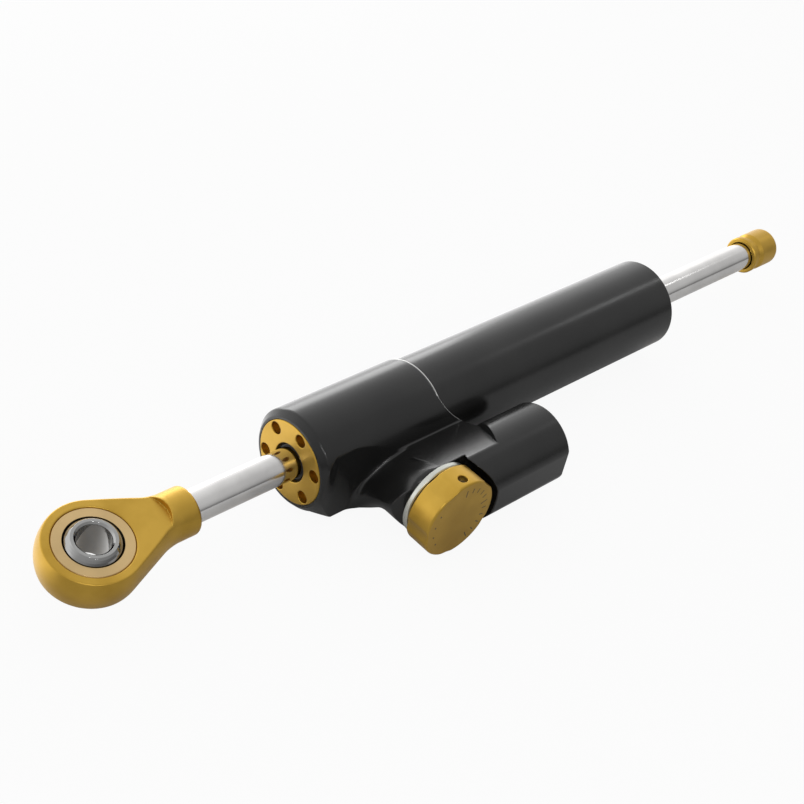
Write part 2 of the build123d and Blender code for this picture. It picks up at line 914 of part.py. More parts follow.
def inner_sleeve():
    """Working cylinder of the piston, relieved outside at the front and with cross holes near both ends."""
    relief_r = sleeve_r - sleeve_relief
    relief_x = sleeve_start_x + sleeve_relief_inset
    sleeve = on_main([
        (sleeve_start_x + fit, sleeve_bore_r),
        (sleeve_start_x + fit, sleeve_r),
        (relief_x, sleeve_r),
        (relief_x, relief_r),
        (sleeve_relief_x, relief_r),
        (sleeve_relief_x, sleeve_r),
        (sleeve_end_x - fit, sleeve_r),
        (sleeve_end_x - fit, sleeve_bore_r),
    ])
    for port_x in (sleeve_start_x + sleeve_port_inset, sleeve_end_x - sleeve_port_inset):
        for side in (-1, 1):
            cross = Cylinder(sleeve_port_r, 2 * sleeve_r + overrun)
            sleeve -= Pos(port_x, 0, 0) * Rot(sleeve_port_angle * side, 0, 0) * cross
    return sleeve


# Compensator in the side chamber

def floating_piston():
    """Cup-shaped piston between the oil and the gas."""
    outer_r = chamber_bore_r - float_clearance
    groove_r = chamber_bore_r - ring_section - seal_gap
    end_x = float_x + float_length
    ring_mid = float_x + float_length / 2
    half = ring_section * ring_groove_share
    return on_chamber([
        (float_x, 0),
        (float_x, outer_r - edge_break),
        (float_x + edge_break, outer_r),
        (ring_mid - half, outer_r),
        (ring_mid - half, groove_r),
        (ring_mid + half, groove_r),
        (ring_mid + half, outer_r),
        (end_x - edge_break, outer_r),
        (end_x, outer_r - edge_break),
        (end_x, groove_r - float_cup_wall),
        (end_x - float_cup_depth, groove_r - float_cup_wall),
        (end_x - float_cup_depth, 0),
    ])


def chamber_ring(x):
    """Rubber ring in the chamber's bore."""
    radius = chamber_bore_r - ring_section / 2 - seal_gap / 2
    ring = Rot(0, 90, 0) * Torus(radius, (ring_section - seal_gap) / 2)
    return Pos(x, -chamber_offset, 0) * ring


def floating_piston_ring():
    """Ring of the floating piston, which clears the bore as the piston itself does."""
    section = ring_section - float_clearance
    radius = chamber_bore_r - float_clearance - section / 2
    ring = Rot(0, 90, 0) * Torus(radius, section / 2)
    return Pos(float_x + float_length / 2, -chamber_offset, 0) * ring


def chamber_plug():
    """Plug that closes the side chamber, with the gas screw's hole."""
    outer_r = chamber_bore_r - seal_gap
    groove_r = chamber_bore_r - ring_section - seal_gap
    ring_mid = plug_x + plug_length / 2
    half = ring_section * ring_groove_share
    end_x = plug_x + plug_length
    return on_chamber([
        (plug_x, fill_screw_r),
        (plug_x, outer_r),
        (ring_mid - half, outer_r),
        (ring_mid - half, groove_r),
        (ring_mid + half, groove_r),
        (ring_mid + half, outer_r),
        (end_x, outer_r),
        (end_x, fill_screw_r),
    ])


def chamber_clip():
    """Open clip in front of the plug."""
    start = plug_x + plug_length
    inner_r = chamber_bore_r - plug_clip_depth * 2
    outer_r = chamber_bore_r + plug_clip_depth - seal_gap
    clip = flat_ring(start + fit / 2, inner_r, outer_r, plug_clip_width - fit, on_chamber)
    gap = inner_r / 3
    return clip - block(
        (start - overrun, -chamber_offset - gap, 0),
        (start + plug_clip_width + overrun, -chamber_offset + gap, chamber_r + overrun),
    )


def fill_screw():
    """Gas screw with a hexagon socket."""
    seat_x = plug_x + plug_length
    start_x = seat_x - fill_screw_length
    end_x = seat_x + fill_screw_head
    screw = on_chamber([
        (start_x, 0),
        (start_x, fill_screw_r),
        (seat_x, fill_screw_r),
        (seat_x, fill_screw_head_r),
        (end_x - edge_break, fill_screw_head_r),
        (end_x, fill_screw_head_r - edge_break),
        (end_x, 0),
    ])
    socket = extrude(RegularPolygon(fill_screw_head_r * hex_key_share, 6), fill_screw_head)
    return screw - Pos(seat_x + edge_break, -chamber_offset, 0) * Rot(0, 90, 0) * socket


# Damping adjuster

def adjuster_collar():
    """Bright collar between the body and the knob."""
    top = boss_seat_y + collar_height
    return on_knob([
        (collar_bore_r, boss_seat_y),
        (collar_r - collar_edge, boss_seat_y),
        (collar_r, boss_seat_y + collar_edge),
        (collar_r, top - collar_edge),
        (collar_r - collar_edge, top),
        (collar_bore_r, top),
    ])


def adjuster_knob():
    """Round knob with five shallow flutes, hollow underneath."""
    ceiling = knob_base_y + knob_cavity
    knob = on_knob([
        (spindle_r, ceiling),
        (spindle_r, spindle_top_y + fit),
        (0, spindle_top_y + fit),
        (0, knob_face_y),
        (knob_r - knob_edge, knob_face_y),
        (knob_r, knob_face_y - knob_edge),
        (knob_r, knob_base_y + knob_edge),
        (knob_r - knob_edge, knob_base_y),
        (knob_cavity_r, knob_base_y),
        (knob_cavity_r, ceiling),
    ])
    for number in range(knob_flutes):
        angle = radians(knob_flute_phase + 360 * number / knob_flutes)
        reach = knob_r + knob_flute_r - knob_flute_depth
        x = knob_x + reach * cos(angle)
        z = reach * sin(angle)
        knob -= along_y(knob_flute_r, knob_base_y - overrun, knob_face_y + overrun, x, z)
    knob -= grub_bar(0, knob_r + overrun, grub_r)
    track = Torus(detent_ring_r, detent_ball_r + detent_groove)
    return knob - Pos(knob_x, -detent_ball_y, 0) * Rot(90, 0, 0) * track


def grub_bar(start_r, end_r, radius):
    """A round bar across the adjuster's line at the grub screw's place."""
    bar = Cylinder(radius, end_r - start_r, align=(Align.CENTER, Align.CENTER, Align.MIN))
    bar = Pos(0, 0, start_r) * bar
    return Pos(knob_x, -grub_y, 0) * Rot(0, 90 - grub_angle, 0) * bar


def knob_grub_screw():
    """Grub screw that clamps the knob to its spindle."""
    end_r = knob_r - grub_sink
    start_r = spindle_r + fit
    screw = grub_bar(start_r, end_r, grub_r - seal_gap)
    socket = extrude(RegularPolygon(grub_r * hex_key_share, 6), grub_socket)
    socket = Pos(0, 0, end_r - grub_socket + fit) * socket
    return screw - Pos(knob_x, -grub_y, 0) * Rot(0, 90 - grub_angle, 0) * socket


def adjuster_spindle():
    """Spindle that the knob turns, with a small end in the needle's socket."""
    flange_top = spindle_flange_y + spindle_flange
    return on_knob([
        (0, spindle_tang_y),
        (spindle_tang_r, spindle_tang_y),
        (spindle_tang_r, spindle_flange_y),
        (spindle_flange_r, spindle_flange_y),
        (spindle_flange_r, flange_top),
        (spindle_r - fit, flange_top),
        (spindle_r - fit, spindle_top_y),
        (0, spindle_top_y),
    ])


def valve_cartridge():
    """Screw-in cartridge that carries the needle and the spindle."""
    ring_half = cartridge_ring_section * ring_groove_share
    groove_r = cartridge_r + cartridge_fit - cartridge_ring_section
    pocket_r = spindle_flange_r + fit
    cartridge = on_knob([
        (cartridge_bore_r, cartridge_base_y),
        (cartridge_r, cartridge_base_y),
        (cartridge_r, cartridge_ring_y - ring_half),
        (groove_r, cartridge_ring_y - ring_half),
        (groove_r, cartridge_ring_y + ring_half),
        (cartridge_r, cartridge_ring_y + ring_half),
        (cartridge_r, cartridge_neck_y),
        (cartridge_head_r, cartridge_neck_y),
        (cartridge_head_r, cartridge_head_y - edge_break),
        (cartridge_head_r - edge_break, cartridge_head_y),
        (spindle_r, cartridge_head_y),
        (spindle_r, spindle_flange_y + spindle_flange + fit),
        (pocket_r, spindle_flange_y + spindle_flange + fit),
        (pocket_r, spindle_flange_y - fit),
        (cartridge_bore_r, spindle_flange_y - fit),
    ])
    hole_base = cartridge_head_y - detent_hole_depth
    for x, z in detent_places():
        cartridge -= along_y(detent_ball_r + detent_hole_fit, hole_base, cartridge_head_y + overrun, x, z)
    return cartridge


def cartridge_ring():
    """Rubber ring round the cartridge."""
    section = cartridge_ring_section - seal_gap
    ring = Rot(90, 0, 0) * Torus(cartridge_r + cartridge_fit - cartridge_ring_section / 2, section / 2)
    return Pos(knob_x, -cartridge_ring_y, 0) * ring


def metering_needle():
    """Needle that closes the orifice as the knob turns."""
    outer_r = cartridge_bore_r - needle_clearance
    socket_r = spindle_tang_r + needle_clearance
    return on_knob([
        (0, needle_tip_y),
        (needle_tip_r, needle_tip_y),
        (needle_stem_r, needle_shoulder_y),
        (outer_r, needle_shoulder_y + outer_r - needle_stem_r),
        (outer_r, needle_top_y),
        (socket_r, needle_top_y),
        (socket_r, needle_top_y - needle_socket),
        (0, needle_top_y - needle_socket),
    ])


def valve_seat():
    """Pressed-in seat with the metering orifice."""
    top = seat_y + seat_height
    return on_knob([
        (seat_orifice_r, seat_y),
        (seat_r, seat_y),
        (seat_r, top),
        (seat_orifice_r + seat_mouth, top),
        (seat_orifice_r, seat_y + seat_mouth),
    ])


def detent_places():
    """Places of the click balls round the adjuster's line."""
    places = []
    for number in range(detent_count):
        angle = radians(360 * number / detent_count)
        places.append((knob_x + detent_ring_r * cos(angle), detent_ring_r * sin(angle)))
    return places


def detent_balls():
    """Click balls under the knob."""
    balls = [Pos(x, -detent_ball_y, z) * Sphere(detent_ball_r) for x, z in detent_places()]
    return Compound(children=balls)


def detent_springs():
    """Coil springs under the click balls."""
    top_y = detent_ball_y - detent_ball_r - detent_spring_gap
    bottom_y = cartridge_head_y - detent_hole_depth + seal_gap
    coil_r = detent_ball_r - detent_wire / 2
    height = top_y - bottom_y - detent_wire
    path = Helix(height / detent_turns, height, coil_r)
    wire = sweep(Plane(origin=path @ 0, z_dir=path % 0) * Circle(detent_wire / 2), path)
    springs = []
    for x, z in detent_places():
        springs.append(Pos(x, -(bottom_y + detent_wire / 2), z) * Rot(90, 0, 0) * wire)
    return Compound(children=springs)


pieces = {
    "rod_end": rod_end(),
    "bearing_race": bearing_race(),
    "bearing_liner": bearing_liner(),
    "bearing_ball": bearing_ball(),
    "piston_rod": piston_rod(),
    "piston": piston(),
    "piston_band": piston_band(),
    "piston_ring": piston_ring(),
    "piston_clips": piston_clips(),
    "stop_nut": stop_nut(),
    "damper_body": damper_body(),
    "gallery_plug": gallery_plug(),
    "outer_tube": outer_tube(),
    "inner_sleeve": inner_sleeve(),
    "floating_piston": floating_piston(),
    "floating_piston_ring": floating_piston_ring(),
    "chamber_plug": chamber_plug(),
    "chamber_plug_ring": chamber_ring(plug_x + plug_length / 2),
    "chamber_clip": chamber_clip(),
    "fill_screw": fill_screw(),
    "adjuster_collar": adjuster_collar(),
    "adjuster_knob": adjuster_knob(),
    "knob_grub_screw": knob_grub_screw(),
    "adjuster_spindle": adjuster_spindle(),
    "valve_cartridge": valve_cartridge(),
    "cartridge_ring": cartridge_ring(),
    "metering_needle": metering_needle(),
    "valve_seat": valve_seat(),
    "detent_balls": detent_balls(),
    "detent_springs": detent_springs(),
}
for end_name, end_x, end_way in (("front", cap_face_x, 1), ("rear", rear_face_x, -1)):
    pieces[end_name + "_cap"] = end_cap(end_x, end_way)
    pieces[end_name + "_wiper"] = cap_wiper(end_x, end_way)
    pieces[end_name + "_rod_seal"] = cap_seal(end_x, end_way)
    pieces[end_name + "_guide_bush"] = cap_bush(end_x, end_way)
    pieces[end_name + "_cap_ring"] = cap_ring(end_x, end_way)

for piece_name, piece_shape in pieces.items():
    write(piece_name, piece_shape)
print(len(pieces), "sub-parts written")
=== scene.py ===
import json
import math
import bmesh
import bpy
import numpy as np
from mathutils import Matrix, Vector


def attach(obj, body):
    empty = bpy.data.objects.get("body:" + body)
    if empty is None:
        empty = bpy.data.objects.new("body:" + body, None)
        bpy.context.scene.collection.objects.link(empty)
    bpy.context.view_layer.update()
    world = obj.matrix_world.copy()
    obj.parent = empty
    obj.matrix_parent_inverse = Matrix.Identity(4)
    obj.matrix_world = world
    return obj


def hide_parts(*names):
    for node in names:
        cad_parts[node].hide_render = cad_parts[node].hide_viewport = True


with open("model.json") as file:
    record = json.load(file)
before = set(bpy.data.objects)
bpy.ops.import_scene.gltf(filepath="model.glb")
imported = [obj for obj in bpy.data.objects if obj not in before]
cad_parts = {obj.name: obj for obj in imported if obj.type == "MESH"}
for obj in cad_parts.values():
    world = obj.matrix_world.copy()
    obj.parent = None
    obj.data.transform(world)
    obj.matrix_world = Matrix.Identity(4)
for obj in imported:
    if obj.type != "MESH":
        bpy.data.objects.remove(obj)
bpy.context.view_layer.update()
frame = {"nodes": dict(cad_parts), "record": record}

# Steering damper on a white sweep. Shapes are written in millimetres and built in metres.
# X runs along the rod from the eye to the stop nut, the knob faces -Y, and Z is up.
mm = 0.001
scene = bpy.context.scene
nodes = frame["nodes"]
knobX = 96.3  # axis of the knob and its boss
chamberY = -33.2  # axis of the side chamber
rollEye = math.radians(10.0)  # the eye stands rolled about the rod
print("frame loaded,", len(nodes), "solids")


# rounded shapes: each is a function that is negative inside the solid

def roundUnion(a, b, r):
    # a and b together, with a fillet of radius r between them
    u = np.maximum(r - a, 0)
    v = np.maximum(r - b, 0)
    return np.maximum(r, np.minimum(a, b)) - np.sqrt(u * u + v * v)


def roundBoth(a, b, r):
    # what a and b share, with the edge between them rounded
    return -roundUnion(-a, -b, r)


def roundCut(a, b, r):
    # a less b
    return roundBoth(a, -b, r)


def ease(t):
    # 0 to 1 with a soft start and end
    t = np.clip(t, 0, 1)
    return t * t * (3 - 2 * t)


def span(v, low, high):
    # a slab between two planes
    return np.maximum(low - v, v - high)


def between(v, limits):
    # where v stands between two limits, 0 at the first and 1 at the second
    return (v - limits[0]) / (limits[1] - limits[0])


# how a shape's surface is found and followed
meshing = {
    "before": 1.5, "after": 2.5,  # empty cells round the shape
    "probe": 0.01,  # reach of the slope measurement, mm
    "slides": 4, "longest": 0.5, "leastSlope": 0.2,
}


def pickCell(cells):
    # grid size in mm: always the first, fine size; the second, coarser one is not used
    return cells[0]


def crossedCells(value):
    # every grid edge that the surface crosses, with the four cells round it
    size = np.array(value.shape)
    cells = size - 1
    stride = np.array([cells[1] * cells[2], cells[2], 1])
    ids, points, quads = [], [], []
    for a in range(3):
        b, c = (a + 1) % 3, (a + 2) % 3
        first = np.take(value, range(size[a] - 1), axis=a)
        second = np.take(value, range(1, size[a]), axis=a)
        hit = np.argwhere((first < 0) != (second < 0))
        hit = hit[(hit[:, b] > 0) & (hit[:, c] > 0) & (hit[:, b] < cells[b]) & (hit[:, c] < cells[c])]
        f0 = first[tuple(hit.T)]
        f1 = second[tuple(hit.T)]
        where = hit.astype(float)
        where[:, a] += f0 / (f0 - f1)
        corner = []
        for db, dc in ((0, 0), (-1, 0), (-1, -1), (0, -1)):
            neighbour = hit.copy()
            neighbour[:, b] += db
            neighbour[:, c] += dc
            key = neighbour @ stride
            ids.append(key)
            points.append(where)
            corner.append(key)
        corner = np.stack(corner, 1)
        corner[f0 >= 0] = corner[f0 >= 0][:, ::-1]
        quads.append(corner)
    return np.concatenate(ids), np.concatenate(points), np.concatenate(quads)


def shapeMesh(name, shape, look):
    # one vertex in each grid cell that the surface crosses, then slid onto the surface
    low, high = look["box"]
    cell = pickCell(look["cells"])
    axes = [np.arange(low[i] - meshing["before"] * cell, high[i] + meshing["after"] * cell, cell)
            for i in range(3)]
    ids, points, quads = crossedCells(shape(*np.meshgrid(*axes, indexing="ij")))
    keys, back = np.unique(ids, return_inverse=True)
    count = np.bincount(back)
    spots = np.stack([np.bincount(back, points[:, i]) / count for i in range(3)], 1)
    spots = spots * cell + np.array([ax[0] for ax in axes])

    def slope(p):
        g = np.empty_like(p)
        for i in range(3):
            d = np.zeros(3)
            d[i] = meshing["probe"]
            g[:, i] = (shape(*(p + d).T) - shape(*(p - d).T)) / (2 * meshing["probe"])
        return g

    for _ in range(meshing["slides"]):
        g = slope(spots)
        steep = np.maximum((g * g).sum(1), meshing["leastSlope"])
        move = (shape(*spots.T) / steep)[:, None] * g
        length = np.maximum(np.linalg.norm(move, axis=1, keepdims=True), 1e-9)
        spots -= move * np.minimum(1, cell * meshing["longest"] / length)
    normal = slope(spots)
    normal /= np.maximum(np.linalg.norm(normal, axis=1, keepdims=True), 1e-9)
    piece = newPiece(name, spots * mm, np.searchsorted(keys, quads).tolist())
    piece.data.normals_split_custom_set_from_vertices(normal.tolist())
    return piece


def newPiece(name, points, faces):
    mesh = bpy.data.meshes.new(name)
    mesh.from_pydata([tuple(p) for p in points], [], faces)
    mesh.update()
    mesh.shade_smooth()
    piece = bpy.data.objects.new(name, mesh)
    scene.collection.objects.link(piece)
    return piece


def turnOut(piece):
    # all faces look outwards
    work = bmesh.new()
    work.from_mesh(piece.data)
    bmesh.ops.recalc_face_normals(work, faces=work.faces)
    work.to_mesh(piece.data)
    work.free()
    piece.data.shade_smooth()


# how far each cut of a corner goes back along its two sides, as shares of the rounding
cornerCuts = ((1.0, 0.0), (0.45, 0.0), (0.0, 0.0), (0.0, 0.45), (0.0, 1.0))
cornerInset = 0.22
cornerReach = 0.4


def softened(outline, rounding, closed):
    # the outline with each corner cut into a small round
    rim = []
    n = len(outline)
    for i, (a, r) in enumerate(outline):
        atEnd = not closed and i in (0, n - 1)
        if atEnd or r == 0:
            rim.append((a, r))
            continue
        here = Vector((a, r))
        toBefore = Vector(outline[i - 1]) - here
        toAfter = Vector(outline[(i + 1) % n]) - here
        cut = min(rounding, cornerReach * toBefore.length, cornerReach * toAfter.length)
        one, two = toBefore.normalized(), toAfter.normalized()
        for shareOne, shareTwo in cornerCuts:
            inner = here + one * cut * shareOne + two * cut * shareTwo
            if shareOne == shareTwo == 0:
                inner = here + (one + two) * cut * cornerInset
            rim.append((inner.x, max(inner.y, 0)))
    return rim


def turnedMesh(name, outline, toFrame, look, closed=True):
    # outline: (along, radius), softened, then turned; toFrame maps (along, across, up) to the frame
    steps = look["sides"]
    points, rows = [], []
    for a, r in softened(outline, look["rounding"], closed):
        if r < 1e-6:
            rows.append([len(points)] * steps)
            points.append(toFrame(a, 0, 0))
            continue
        row = []
        for k in range(steps):
            t = 2 * math.pi * k / steps
            row.append(len(points))
            points.append(toFrame(a, r * math.cos(t), r * math.sin(t)))
        rows.append(row)
    faces = []
    last = len(rows) if closed else len(rows) - 1
    for i in range(last):
        one, two = rows[i], rows[(i + 1) % len(rows)]
        for k in range(steps):
            n = (k + 1) % steps
            loop = list(dict.fromkeys([one[k], one[n], two[n], two[k]]))
            if len(loop) > 2:
                faces.append(loop)
    piece = newPiece(name, [Vector(p) * mm for p in points], faces)
    turnOut(piece)
    return piece


def alongRod(x, across, up):
    return (x, across, up)


def throughEye(along, across, up):
    # along is the eye's own axis
    y = across * math.cos(rollEye) - along * math.sin(rollEye)
    z = across * math.sin(rollEye) + along * math.cos(rollEye)
    return (up, y, z)


def atKnob(depth, across, up):
    return (knobX + across, -depth, up)


# finishes

def newFinish(name, metal, rough, color):
    finish = bpy.data.materials.new(name)
    finish.use_nodes = True
    tree = finish.node_tree
    shader = tree.nodes["Principled BSDF"]
    shader.inputs["Metallic"].default_value = metal
    shader.inputs["Roughness"].default_value = rough
    shader.inputs["Base Color"].default_value = (*color, 1)
    return finish, tree, shader


def addNode(tree, kind, **settings):
    node = tree.nodes.new(kind)
    for key, value in settings.items():
        setattr(node, key, value)
    return node


def noiseOn(tree, scale, detail, stretch=(1, 1, 1)):
    coord = addNode(tree, "ShaderNodeTexCoord")
    mapping = addNode(tree, "ShaderNodeMapping")
    mapping.inputs["Scale"].default_value = stretch
    noise = addNode(tree, "ShaderNodeTexNoise")
    noise.inputs["Scale"].default_value = scale
    noise.inputs["Detail"].default_value = detail
    tree.links.new(coord.outputs["Object"], mapping.inputs["Vector"])
    tree.links.new(mapping.outputs["Vector"], noise.inputs["Vector"])
    return noise.outputs["Fac"]


def ramped(tree, source, stops):
    ramp = addNode(tree, "ShaderNodeValToRGB")
    elements = ramp.color_ramp.elements
    while len(elements) < len(stops):
        elements.new(0.5)
    for element, (at, color) in zip(elements, stops):
        element.position = at
        element.color = (*color, 1)
    tree.links.new(source, ramp.inputs["Fac"])
    return ramp.outputs["Color"]


def ranged(tree, source, low, high):
    node = addNode(tree, "ShaderNodeMapRange")
    node.inputs["To Min"].default_value = low
    node.inputs["To Max"].default_value = high
    tree.links.new(source, node.inputs["Value"])
    return node.outputs["Result"]


def bumped(tree, shader, source, strength, distance):
    bump = addNode(tree, "ShaderNodeBump")
    bump.inputs["Strength"].default_value = strength
    bump.inputs["Distance"].default_value = distance
    tree.links.new(source, bump.inputs["Height"])
    tree.links.new(bump.outputs["Normal"], shader.inputs["Normal"])


def tinted(tree, shader, source, colors, stops):
    # base colour running between two colours with the source
    tint = ramped(tree, source, list(zip(stops, colors)))
    tree.links.new(tint, shader.inputs["Base Color"])


def roughened(tree, shader, source, low, high):
    tree.links.new(ranged(tree, source, low, high), shader.inputs["Roughness"])


# in each look, noise is (scale, detail) and bump is (strength, distance in metres)
blackLook = {
    "dark": (0.006, 0.006, 0.006), "light": (0.012, 0.012, 0.0115), "stops": (0.3, 0.75),
    "startRough": 0.3, "rough": (0.18, 0.26), "gloss": 0.45,
    "cloud": (55, 5), "grain": (2600, 2), "bump": (0.22, 0.00003),
}


def makeBlack(name):
    # black anodising over a bead-blasted surface
    look = blackLook
    finish, tree, shader = newFinish(name, 0.0, look["startRough"], look["dark"])
    shader.inputs["Specular IOR Level"].default_value = look["gloss"]
    cloud = noiseOn(tree, *look["cloud"])
    tinted(tree, shader, cloud, (look["dark"], look["light"]), look["stops"])
    roughened(tree, shader, cloud, *look["rough"])
    bumped(tree, shader, noiseOn(tree, *look["grain"]), *look["bump"])
    return finish


def turningMarks(tree, centre, axis, pitch):
    # rings about an axis: a wave over the distance from it
    coord = addNode(tree, "ShaderNodeTexCoord")
    shift = addNode(tree, "ShaderNodeVectorMath", operation="SUBTRACT")
    shift.inputs[1].default_value = [c * mm for c in centre]
    keep = addNode(tree, "ShaderNodeVectorMath", operation="MULTIPLY")
    keep.inputs[1].default_value = [0 if a else 1 for a in axis]
    reach = addNode(tree, "ShaderNodeVectorMath", operation="LENGTH")
    times = addNode(tree, "ShaderNodeMath", operation="MULTIPLY")
    times.inputs[1].default_value = 2 * math.pi / (pitch * mm)
    wave = addNode(tree, "ShaderNodeMath", operation="SINE")
    tree.links.new(coord.outputs["Object"], shift.inputs[0])
    tree.links.new(shift.outputs[0], keep.inputs[0])
    tree.links.new(keep.outputs[0], reach.inputs[0])
    tree.links.new(reach.outputs["Value"], times.inputs[0])
    tree.links.new(times.outputs[0], wave.inputs[0])
    return wave.outputs[0]


goldLook = {
    "deep": (0.44, 0.265, 0.04), "bright": (0.56, 0.35, 0.062), "stops": (0.32, 0.62),
    "startRough": 0.28, "rough": (0.33, 0.45),
    "cloud": (70, 5), "grain": (1800, 2), "bump": (0.16, 0.00002),
    "ringPitch": 0.35, "ringBump": (0.18, 0.00002),
}


def makeGold(name, centre=None, axis=None):
    # gold anodised aluminium, with turning marks where an axis is given
    look = goldLook
    finish, tree, shader = newFinish(name, 1.0, look["startRough"], look["bright"])
    cloud = noiseOn(tree, *look["cloud"])
    tinted(tree, shader, cloud, (look["deep"], look["bright"]), look["stops"])
    roughened(tree, shader, cloud, *look["rough"])
    if axis:
        bumped(tree, shader, turningMarks(tree, centre, axis, look["ringPitch"]), *look["ringBump"])
    else:
        bumped(tree, shader, noiseOn(tree, *look["grain"]), *look["bump"])
    return finish


steelLook = {"dim": 0.86, "stops": (0.3, 0.65), "cloud": (90, 4), "detail": 3, "depth": 0.00001}
steels = {  # spread is how much rougher the grain's valleys are
    "chromedRod": {"color": (0.70, 0.69, 0.68), "rough": 0.08, "spread": 0.08,
                   "grain": 1200, "stretch": (0.05, 1, 1), "bump": 0.06},
    "polishedBall": {"color": (0.36, 0.36, 0.355), "rough": 0.06, "spread": 0.08},
    "raceSteel": {"color": (0.60, 0.43, 0.21), "rough": 0.3, "spread": 0.12},
    "turnedAluminium": {"color": (0.62, 0.63, 0.58), "rough": 0.3, "spread": 0.12},
    "machinedAluminium": {"color": (0.7, 0.7, 0.69), "rough": 0.25, "spread": 0.15},
    "oiledSteel": {"color": (0.22, 0.22, 0.23), "rough": 0.3, "spread": 0.15},
}


def makeSteel(name, color, rough, spread, grain=900, stretch=(1, 1, 1), bump=0.1):
    # bare metal, a little cloudy, with a fine grain
    look = steelLook
    finish, tree, shader = newFinish(name, 1.0, rough, color)
    cloud = noiseOn(tree, *look["cloud"])
    dim = tuple(c * look["dim"] for c in color)
    tinted(tree, shader, cloud, (dim, color), look["stops"])
    lines = noiseOn(tree, grain, look["detail"], stretch)
    roughened(tree, shader, lines, rough, rough + spread)
    bumped(tree, shader, lines, bump, look["depth"])
    return finish


softLook = {"dim": 0.7, "stops": (0.3, 0.7), "spread": 0.08,
            "cloud": (240, 5), "grain": (3000, 3), "bump": (0.2, 0.00003)}
softs = {
    "mouldedRubber": {"color": (0.02, 0.02, 0.02), "rough": 0.6},
    "filledPlastic": {"color": (0.03, 0.035, 0.03), "rough": 0.45},
    "dialInk": {"color": (0.06, 0.045, 0.02), "rough": 0.5},
}


def makeSoft(name, color, rough):
    # rubber, plastic and ink: dull, with a fine mottle
    look = softLook
    finish, tree, shader = newFinish(name, 0.0, rough, color)
    cloud = noiseOn(tree, *look["cloud"])
    dim = tuple(c * look["dim"] for c in color)
    tinted(tree, shader, cloud, (dim, color), look["stops"])
    roughened(tree, shader, cloud, rough - look["spread"], rough + look["spread"])
    bumped(tree, shader, noiseOn(tree, *look["grain"]), *look["bump"])
    return finish


blackBody = makeBlack("blackAnodisedBody")
blackTube = makeBlack("blackAnodisedTube")
goldKnob = makeGold("goldKnob", (knobX, 0, 0), (0, 1, 0))
goldCap = makeGold("goldCap", (0, 0, 0), (1, 0, 0))
goldEye = makeGold("goldRodEnd")
goldNut = makeGold("goldNut")
steel = {name: makeSteel(name, **look) for name, look in steels.items()}
soft = {name: makeSoft(name, **look) for name, look in softs.items()}
print("finishes made")

slotFinish = {
    "black": blackTube, "gold": goldCap, "silver": steel["turnedAluminium"],
    "bare_alloy": steel["machinedAluminium"], "chrome": steel["chromedRod"],
    "ball_steel": steel["polishedBall"], "race": steel["raceSteel"],
    "spring_steel": steel["oiledSteel"], "polymer": soft["filledPlastic"],
    "rubber": soft["mouldedRubber"],
}
for part in frame["record"]["subparts"]:
    materials = nodes[part["node"]].data.materials
    materials.clear()
    materials.append(slotFinish[part["material_slot"]])


def place(piece, bodyName, slot, finish, *replaced):
    # gives a piece its finish, the body it rides on and the solid it stands for
    piece.data.materials.clear()
    piece.data.materials.append(finish)
    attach(piece, bodyName)
    if replaced:
        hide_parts(*replaced)


# machined body: the barrel round the rod, with a side block that carries boss and chamber
body = {
    "box": ((69, -46, -16.5), (142.5, 16.5, 16.5)), "cells": (0.36, 0.7),
    "barrelR": 16.2, "faceX": 69.0, "faceR": 14.3, "faceEdges": (0.3, 0.15),
    "endX": 117.0, "endEdges": (0.05, 0.1), "endBevel": 0.6,
    "cornerY": -15.9, "bottomZ": -12.9,  # squared lower corner of the barrel
    "skinX": 116.0, "skinZ": 12.5, "skinCurve": 0.625, "skinSlack": 0.7,
    "topY": 15.77, "topZ": 3.7, "topAngle": 24.53, "topSlack": 0.85,  # sloping top of the side block
    "blockY": -8.0, "webEndX": 124.0, "webTopZ": 14.0, "creaseR": 0.8, "edge": 0.35,
    "stepX": (125.0, 117.5), "stepY": (-20.3, -35.3), "stepSlack": 0.9,  # step up to the chamber
    "chamberR": 12.9, "chamberEndX": 142.3, "chamberEdges": (0.25, 0.5), "flatY": -45.2,
    "chamberSpare": 1.0,  # stock left round the chamber before it is turned down
    "bossR": 12.5, "seatY": -33.5, "recessR": 15.0, "recessEdge": 0.3,
    "browX": 102.2, "browSweep": 5.2, "browY": (-18.0, -33.0),  # edge where the top starts to fall
    "browFall": (0.1, 0.022), "browRound": 5.0, "browRun": 8.0, "footR": 1.4,
    "sideY": -14.75, "wallY": -13.3, "wallZ": 9.2, "wallLean": 0.077, "wallStart": (70.5, 75.0),
    "wallBend": (82.0, 102.0), "wallSweep": 2.3, "wallCurve": 1.3,
    "coveR": (10.0, 4.0), "coveX": (86.0, 100.0),
    "rodBores": ((13.5, 60, 72.4), (12.3, 60, 84), (11.45, 60, 107), (13.55, 107, 109), (14.55, 109, 117.0)),
    "reliefR": 15.5, "lipEdge": 0.12,
    "chamberBore": (9.5, 112.0), "chamberBoreEdge": 0.3, "clipGroove": (10.3, 139.0, 140.2),
    "adjusterBores": ((8.0, -31.4), (4.25, -27.5)),
}
slant = 0.7071  # turns a 45 degree bevel into a true distance


def sweptEdge(x):
    # height at which the barrel's skin ends where it runs on over the tube
    t = np.clip((x - body["endX"]) / (body["webEndX"] - body["endX"]), 0, 1)
    return body["skinZ"] - (body["skinZ"] - body["topZ"]) * t ** body["skinCurve"]


def mixed(limits, share):
    return limits[0] + (limits[1] - limits[0]) * share


